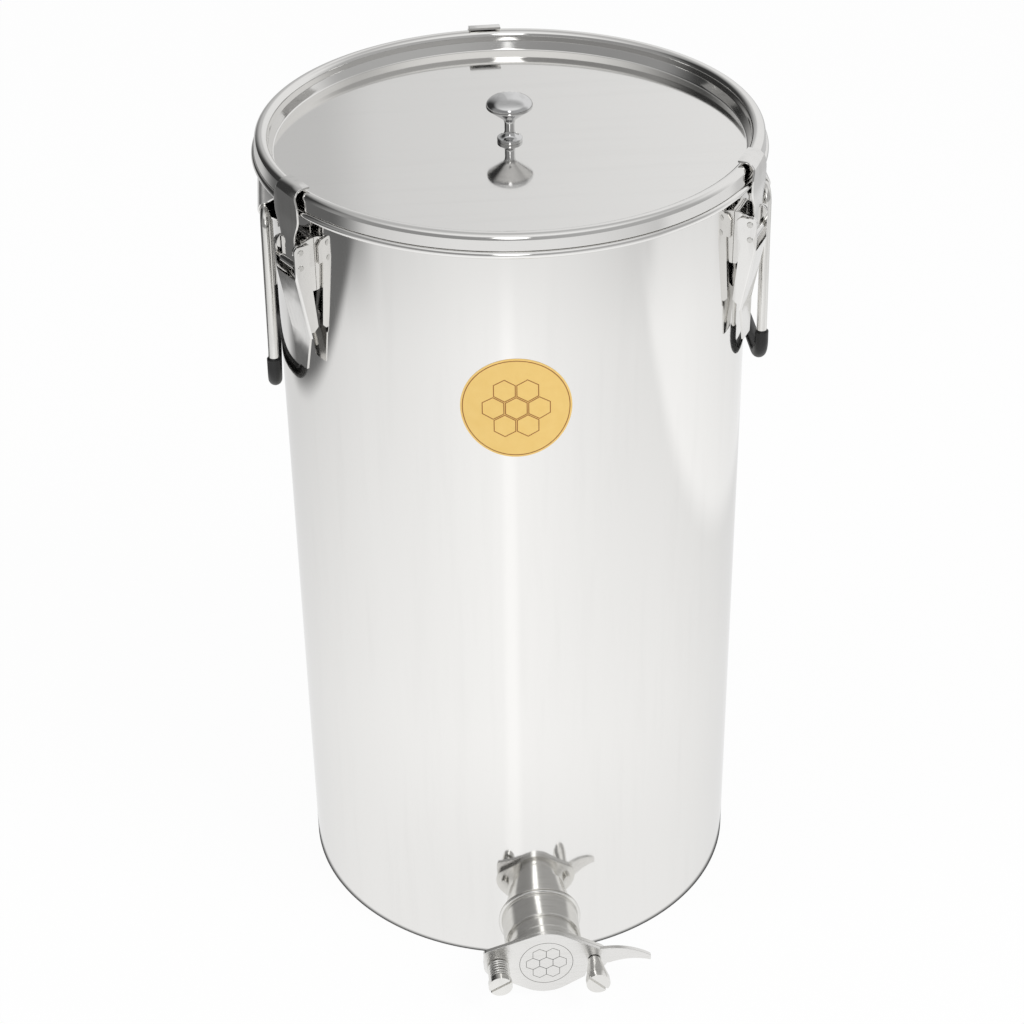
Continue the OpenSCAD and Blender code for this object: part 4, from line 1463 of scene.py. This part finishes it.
@dataclass
class FloorLight:
    """How bright the paper floor looks in the steel: white in front, fading to the sides and behind.

    Far to the left the floor is dark. A thin painted shadow lies along the wall's foot, standing in
    for the tank's contact shadow as the steel mirrors it. A way is the share of a place's distance
    that lies along a direction. The bearing is the tangent of the angle between a place and the
    bright direction.

    Attributes:
        ahead: Unit vector along which the floor is brightest.
        across: Unit vector square to it, to the right.
        left: Unit vector towards the dark part.
        depth: Strength by y, from the front to the back.
        side_loss: Strength lost for each metre to either side.
        right_slant: How much y counts in the measure to the right.
        right: Strength gained at the right.
        foot: Strength by distance from the axis, for the painted shadow along the wall's foot.
        near: Distances between which the foot's strength gives way to the open floor's.
        lane: Strength gained in a narrow lane, by the bearing from the bright direction.
        lane_start: Distances ahead between which that lane sets in.
        dark_slant: How much y counts in the measure of the dark part.
        dim: Strength by the way left, into the dark part.
        kept: Values of the dark part's measure between which it gives way to the open floor.
        pale: Strength of the distant floor by the way ahead.
        beside: Strength of the distant floor by the way to the right.
        distant: Strength of the distant floor by the way left.
        far: Distances between which the distant floor sets in.
    """

    ahead: Triple = (-0.127, -0.992, 0.0)
    across: Triple = (0.992, -0.127, 0.0)
    left: Triple = (-0.97, 0.243, 0.0)
    depth: Change = Change(-0.2, 0.6, 1.03, 0.91)
    side_loss: float = 0.2
    right_slant: float = 0.5
    right: Change = Change(0.56, 0.66, 0.0, 0.15)
    foot: Change = Change(0.1505, 0.1535, 0.1, 0.93)
    near: Change = Change(0.2, 0.4)
    lane: Change = Change(0.02, 0.08, 0.06, 0.0)
    lane_start: Change = Change(0.1, 0.2)
    dark_slant: float = -0.8
    dim: Change = Change(0.78, 0.92, after=0.16)
    kept: Change = Change(-1.05, -0.96)
    pale: Change = Change(0.4, 0.95, 0.64, 0.86)
    beside: Change = Change(0.9, 0.96, after=0.82)
    distant: Change = Change(0.78, 0.95, after=0.13)
    far: Change = Change(0.95, 1.3)

    def strength(self, tree: bpy.types.NodeTree) -> bpy.types.NodeSocket:
        """Blends the near floor into the distant one.

        Args:
            tree: Node tree of the floor.

        Returns:
            The strength of the floor's light.
        """
        spot = add(tree, "ShaderNodeTexCoord").outputs["Object"]
        away = add(tree, "ShaderNodeVectorMath", {0: spot}, operation="LENGTH").outputs["Value"]
        reaches = [
            add(tree, "ShaderNodeVectorMath", {0: spot, 1: way}, operation="DOT_PRODUCT").outputs["Value"]
            for way in (self.ahead, self.across, self.left)]
        forward, rightward, leftward = [
            add(tree, "ShaderNodeMath", {0: reach, 1: away}, operation="DIVIDE").outputs[0]
            for reach in reaches]
        open_floor = self.open_floor(tree, spot, away, reaches)
        x, y, _ = add(tree, "ShaderNodeSeparateXYZ", {0: spot}).outputs
        side = add(tree, "ShaderNodeMath", {
            0: y, 1: self.dark_slant, 2: x}, operation="MULTIPLY_ADD").outputs[0]
        dim = add(tree, "ShaderNodeMapRange", self.dim.over(leftward, open_floor), **EASED).outputs[0]
        kept = add(tree, "ShaderNodeMapRange", self.kept.over(side, dim, open_floor), **EASED).outputs[0]
        pale = add(tree, "ShaderNodeMapRange", self.pale.over(forward)).outputs[0]
        beside = add(tree, "ShaderNodeMapRange", self.beside.over(rightward, pale), **EASED).outputs[0]
        distant = add(tree, "ShaderNodeMapRange", self.distant.over(leftward, beside), **EASED).outputs[0]
        return add(tree, "ShaderNodeMapRange", self.far.over(away, kept, distant), **EASED).outputs[0]

    def open_floor(self, tree: bpy.types.NodeTree, spot: bpy.types.NodeSocket, away: bpy.types.NodeSocket,
                   reaches: Sequence[bpy.types.NodeSocket]) -> bpy.types.NodeSocket:
        """Works out the floor round the tank, without its dark part.

        Args:
            tree: Node tree of the floor.
            spot: Place on the floor.
            away: Its distance from the axis.
            reaches: Its distances ahead, across and left.

        Returns:
            The strength of that floor's light.
        """
        x, y, _ = add(tree, "ShaderNodeSeparateXYZ", {0: spot}).outputs
        ahead, across, _ = reaches
        off = add(tree, "ShaderNodeMath", {0: across}, operation="ABSOLUTE").outputs[0]
        depth = add(tree, "ShaderNodeMapRange", self.depth.over(y)).outputs[0]
        plain = add(tree, "ShaderNodeMath", {
            0: off, 1: -self.side_loss, 2: depth}, operation="MULTIPLY_ADD").outputs[0]
        to_right = add(tree, "ShaderNodeMath", {
            0: y, 1: self.right_slant, 2: x}, operation="MULTIPLY_ADD").outputs[0]
        gain = add(tree, "ShaderNodeMapRange", self.right.over(to_right), **EASED).outputs[0]
        wide = add(tree, "ShaderNodeMath", {0: plain, 1: gain}, operation="ADD").outputs[0]
        # Painted shadow: the floor close to the wall's foot is made dark in the steel, standing in for the
        # tank's contact shadow.
        foot = add(tree, "ShaderNodeMapRange", self.foot.over(away), **EASED).outputs[0]
        near = add(tree, "ShaderNodeMapRange", self.near.over(away, foot, wide), **EASED).outputs[0]
        bearing = add(tree, "ShaderNodeMath", {0: off, 1: ahead}, operation="DIVIDE").outputs[0]
        lane = add(tree, "ShaderNodeMapRange", self.lane.over(bearing), **EASED).outputs[0]
        front = add(tree, "ShaderNodeMapRange", self.lane_start.over(ahead, after=lane), **EASED).outputs[0]
        return add(tree, "ShaderNodeMath", {0: near, 1: front}, operation="ADD").outputs[0]


@dataclass
class WallLight:
    """How bright the studio looks in the steel, by the direction of the view into it.

    It is dark at the left behind the tank, pale at the right behind it and dim before it. The ceiling
    is bright in front and greyer behind. A soft box stands beside the camera.

    Attributes:
        left: Strength behind the tank by x, up to the middle.
        right: Strength behind the tank by x, from the middle on.
        middle: Values of x between which the left gives way to the right.
        before: Strength before the tank by x.
        sides: Values of y between which the part before gives way to the part behind.
        roof: Strength of the ceiling by y.
        rise: Values of z between which the walls give way to the ceiling.
        box: Strength by the distance from the soft box's middle.
        box_spot: Middle of the soft box, in directions scaled as the next value says.
        box_scale: Scale of directions that makes the round box narrow.
    """

    left: Change = Change(-0.6, 0.0, 0.04, 0.6)
    right: Change = Change(0.02, 0.17, 0.75, 0.88)
    middle: Change = Change(-0.002, 0.026)
    before: Change = Change(-0.5, 0.5, 0.3, 0.45)
    sides: Change = Change(-0.15, 0.35)
    roof: Change = Change(-0.5, 0.4, 0.95, 0.52)
    rise: Change = Change(0.62, 0.85)
    box: Change = Change(0.24, 0.3, before=2.2)
    box_spot: Triple = (-0.16, -0.834, 0.547)
    box_scale: Triple = (2.2, 1.0, 1.0)

    def strength(self, tree: bpy.types.NodeTree) -> bpy.types.NodeSocket:
        """Blends walls, ceiling and soft box.

        Args:
            tree: Node tree of the world.

        Returns:
            The strength of the studio's light.
        """
        way = add(tree, "ShaderNodeTexCoord").outputs["Generated"]
        x, y, z = add(tree, "ShaderNodeSeparateXYZ", {0: way}).outputs
        left = add(tree, "ShaderNodeMapRange", self.left.over(x), **EASED).outputs[0]
        right = add(tree, "ShaderNodeMapRange", self.right.over(x)).outputs[0]
        behind = add(tree, "ShaderNodeMapRange", self.middle.over(x, left, right), **EASED).outputs[0]
        before = add(tree, "ShaderNodeMapRange", self.before.over(x), **EASED).outputs[0]
        walls = add(tree, "ShaderNodeMapRange", self.sides.over(y, before, behind), **EASED).outputs[0]
        roof = add(tree, "ShaderNodeMapRange", self.roof.over(y), **EASED).outputs[0]
        room = add(tree, "ShaderNodeMapRange", self.rise.over(z, walls, roof), **EASED).outputs[0]
        narrow = add(tree, "ShaderNodeMapping", {"Vector": way, "Scale": self.box_scale}).outputs[0]
        apart = add(tree, "ShaderNodeVectorMath", {
            0: narrow, 1: self.box_spot}, operation="DISTANCE").outputs["Value"]
        return add(tree, "ShaderNodeMapRange", self.box.over(apart, after=room), **EASED).outputs[0]


@dataclass
class Studio:
    """Pale floor, soft light and the camera.

    Attributes:
        floor_size: Side of the floor.
        paper: Colour of the floor.
        target: Height of the point that the camera looks at.
        distance: Distance of the camera from that point.
        elevation: Angle of the view above the horizon in degrees.
        azimuth: Direction of the view in degrees.
        roll: Turn of the camera about its view in degrees.
        lens: Focal length in millimetres on the sensor below.
        sensor: Width of the sensor in millimetres.
        shift: Sideways shift of the frame.
        glow: Share of plain white in the floor, the rest being lit and shaded.
        ambient: Strength of the light from all around.
        lamp_aim: Height of the point that the lamps shine at.
    """

    floor_size: float = 14.0
    paper: str = "#FCFCFC"
    target: float = 0.2678
    distance: float = 1.5887
    elevation: float = 33.16
    azimuth: float = -5.0
    roll: float = -0.81
    lens: float = 81.46
    sensor: float = 36.0
    shift: float = -0.00305
    glow: float = 0.95
    ambient: float = 0.6
    lamp_aim: float = 0.3

    def build(self) -> None:
        """Builds floor, surroundings, lamps and camera."""
        self.floor()
        self.surroundings()
        self.lamps()
        self.camera()
        bpy.context.scene.view_settings.view_transform = "Standard"

    def floor(self) -> None:
        """A wide matt floor that looks white and still takes the tank's shadow."""
        half = self.floor_size / 2
        corners = np.array([[-half, -half, 0], [half, -half, 0], [half, half, 0], [-half, half, 0]])
        mesh = bpy.data.meshes.new("studio_floor")
        mesh.from_pydata(corners.tolist(), [], [[0, 1, 2, 3]])
        paper = bpy.data.materials.new("white_paper_roll")
        paper.use_nodes = True
        tree = paper.node_tree
        tree.nodes.clear()
        light = add(tree, "ShaderNodeLightPath").outputs
        matt = add(tree, "ShaderNodeBsdfDiffuse", {"Color": linear(self.paper)}).outputs[0]
        white = add(tree, "ShaderNodeEmission", {"Color": linear(WHITE), "Strength": 1.0}).outputs[0]
        mirrored = add(tree, "ShaderNodeEmission", {
            "Color": linear(WHITE), "Strength": FloorLight().strength(tree)}).outputs[0]
        straight = add(tree, "ShaderNodeMath", {
            0: light["Is Camera Ray"], 1: light["Is Transmission Ray"]}, operation="MAXIMUM").outputs[0]
        share = add(tree, "ShaderNodeMath", {0: straight, 1: self.glow}, operation="MULTIPLY").outputs[0]
        shaded = add(tree, "ShaderNodeMixShader", {0: share, 1: matt, 2: white}).outputs[0]
        whole = add(tree, "ShaderNodeMixShader", {
            0: light["Is Glossy Ray"], 1: shaded, 2: mirrored}).outputs[0]
        add(tree, "ShaderNodeOutputMaterial", {"Surface": whole})
        mesh.materials.append(paper)
        plane = bpy.data.objects.new("studio_floor", mesh)
        bpy.context.scene.collection.objects.link(plane)

    def surroundings(self) -> None:
        """White for the camera, a studio with bright and dark walls for the steel to mirror."""
        world = bpy.data.worlds.new("studio")
        bpy.context.scene.world = world
        world.use_nodes = True
        tree = world.node_tree
        tree.nodes.clear()
        light = add(tree, "ShaderNodeLightPath").outputs
        ambient = add(tree, "ShaderNodeMapRange", {
            0: light["Is Glossy Ray"], 3: self.ambient, 4: WallLight().strength(tree)}).outputs[0]
        strength = add(tree, "ShaderNodeMapRange", {0: light["Is Camera Ray"], 3: ambient, 4: 1.0}).outputs[0]
        back = add(tree, "ShaderNodeBackground", {"Color": linear(WHITE), "Strength": strength})
        add(tree, "ShaderNodeOutputWorld", {"Surface": back.outputs[0]})

    def lamps(self) -> None:
        """A large soft box from the upper right and a smaller one from the left."""
        for name, place, size, watts in (
                ("key_box", (1.4, -1.3, 2.2), 1.2, 26.0),
                ("fill_box", (-1.8, -0.6, 1.6), 1.0, 10.0)):
            lamp = bpy.data.lights.new(name, "AREA")
            lamp.shape = "SQUARE"
            lamp.size = size
            lamp.energy = watts
            holder = bpy.data.objects.new(name, lamp)
            holder.location = place
            holder.rotation_mode = "QUATERNION"
            aim = Vector((0, 0, self.lamp_aim)) - Vector(place)
            holder.rotation_quaternion = aim.to_track_quat("-Z", "Y")
            holder.visible_glossy = False
            bpy.context.scene.collection.objects.link(holder)

    def camera(self) -> None:
        """The camera at the photo's angle, a little rolled."""
        turn, rise = math.radians(self.azimuth), math.radians(self.elevation)
        back = Vector((math.sin(turn) * math.cos(rise), -math.cos(turn) * math.cos(rise), math.sin(rise)))
        data = bpy.data.cameras.new("photo_view")
        data.sensor_width = self.sensor
        data.lens = self.lens
        data.shift_x = self.shift
        holder = bpy.data.objects.new("photo_view", data)
        holder.location = Vector((0, 0, self.target)) + back * self.distance
        holder.rotation_mode = "QUATERNION"
        level = (-back).to_track_quat("-Z", "Y")
        holder.rotation_quaternion = level @ Quaternion((0, 0, 1), math.radians(self.roll))
        bpy.context.scene.collection.objects.link(holder)
        bpy.context.scene.camera = holder


def main() -> None:
    """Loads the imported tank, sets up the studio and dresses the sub-assemblies."""
    logging.basicConfig(level=logging.INFO, format="%(name)s: %(message)s")
    bpy.data.batch_remove(bpy.data.objects)
    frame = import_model()
    nodes = frame["nodes"]
    Studio().build()
    Drum().build(nodes)
    Lid().build(nodes)
    for place in Place:
        Clamp(place.name.lower(), place.value).build(nodes)
    for side in Side:
        Handle(side.name.lower(), side.value).build(nodes)
    Gate().build(nodes)


if __name__ == "__main__":
    main()
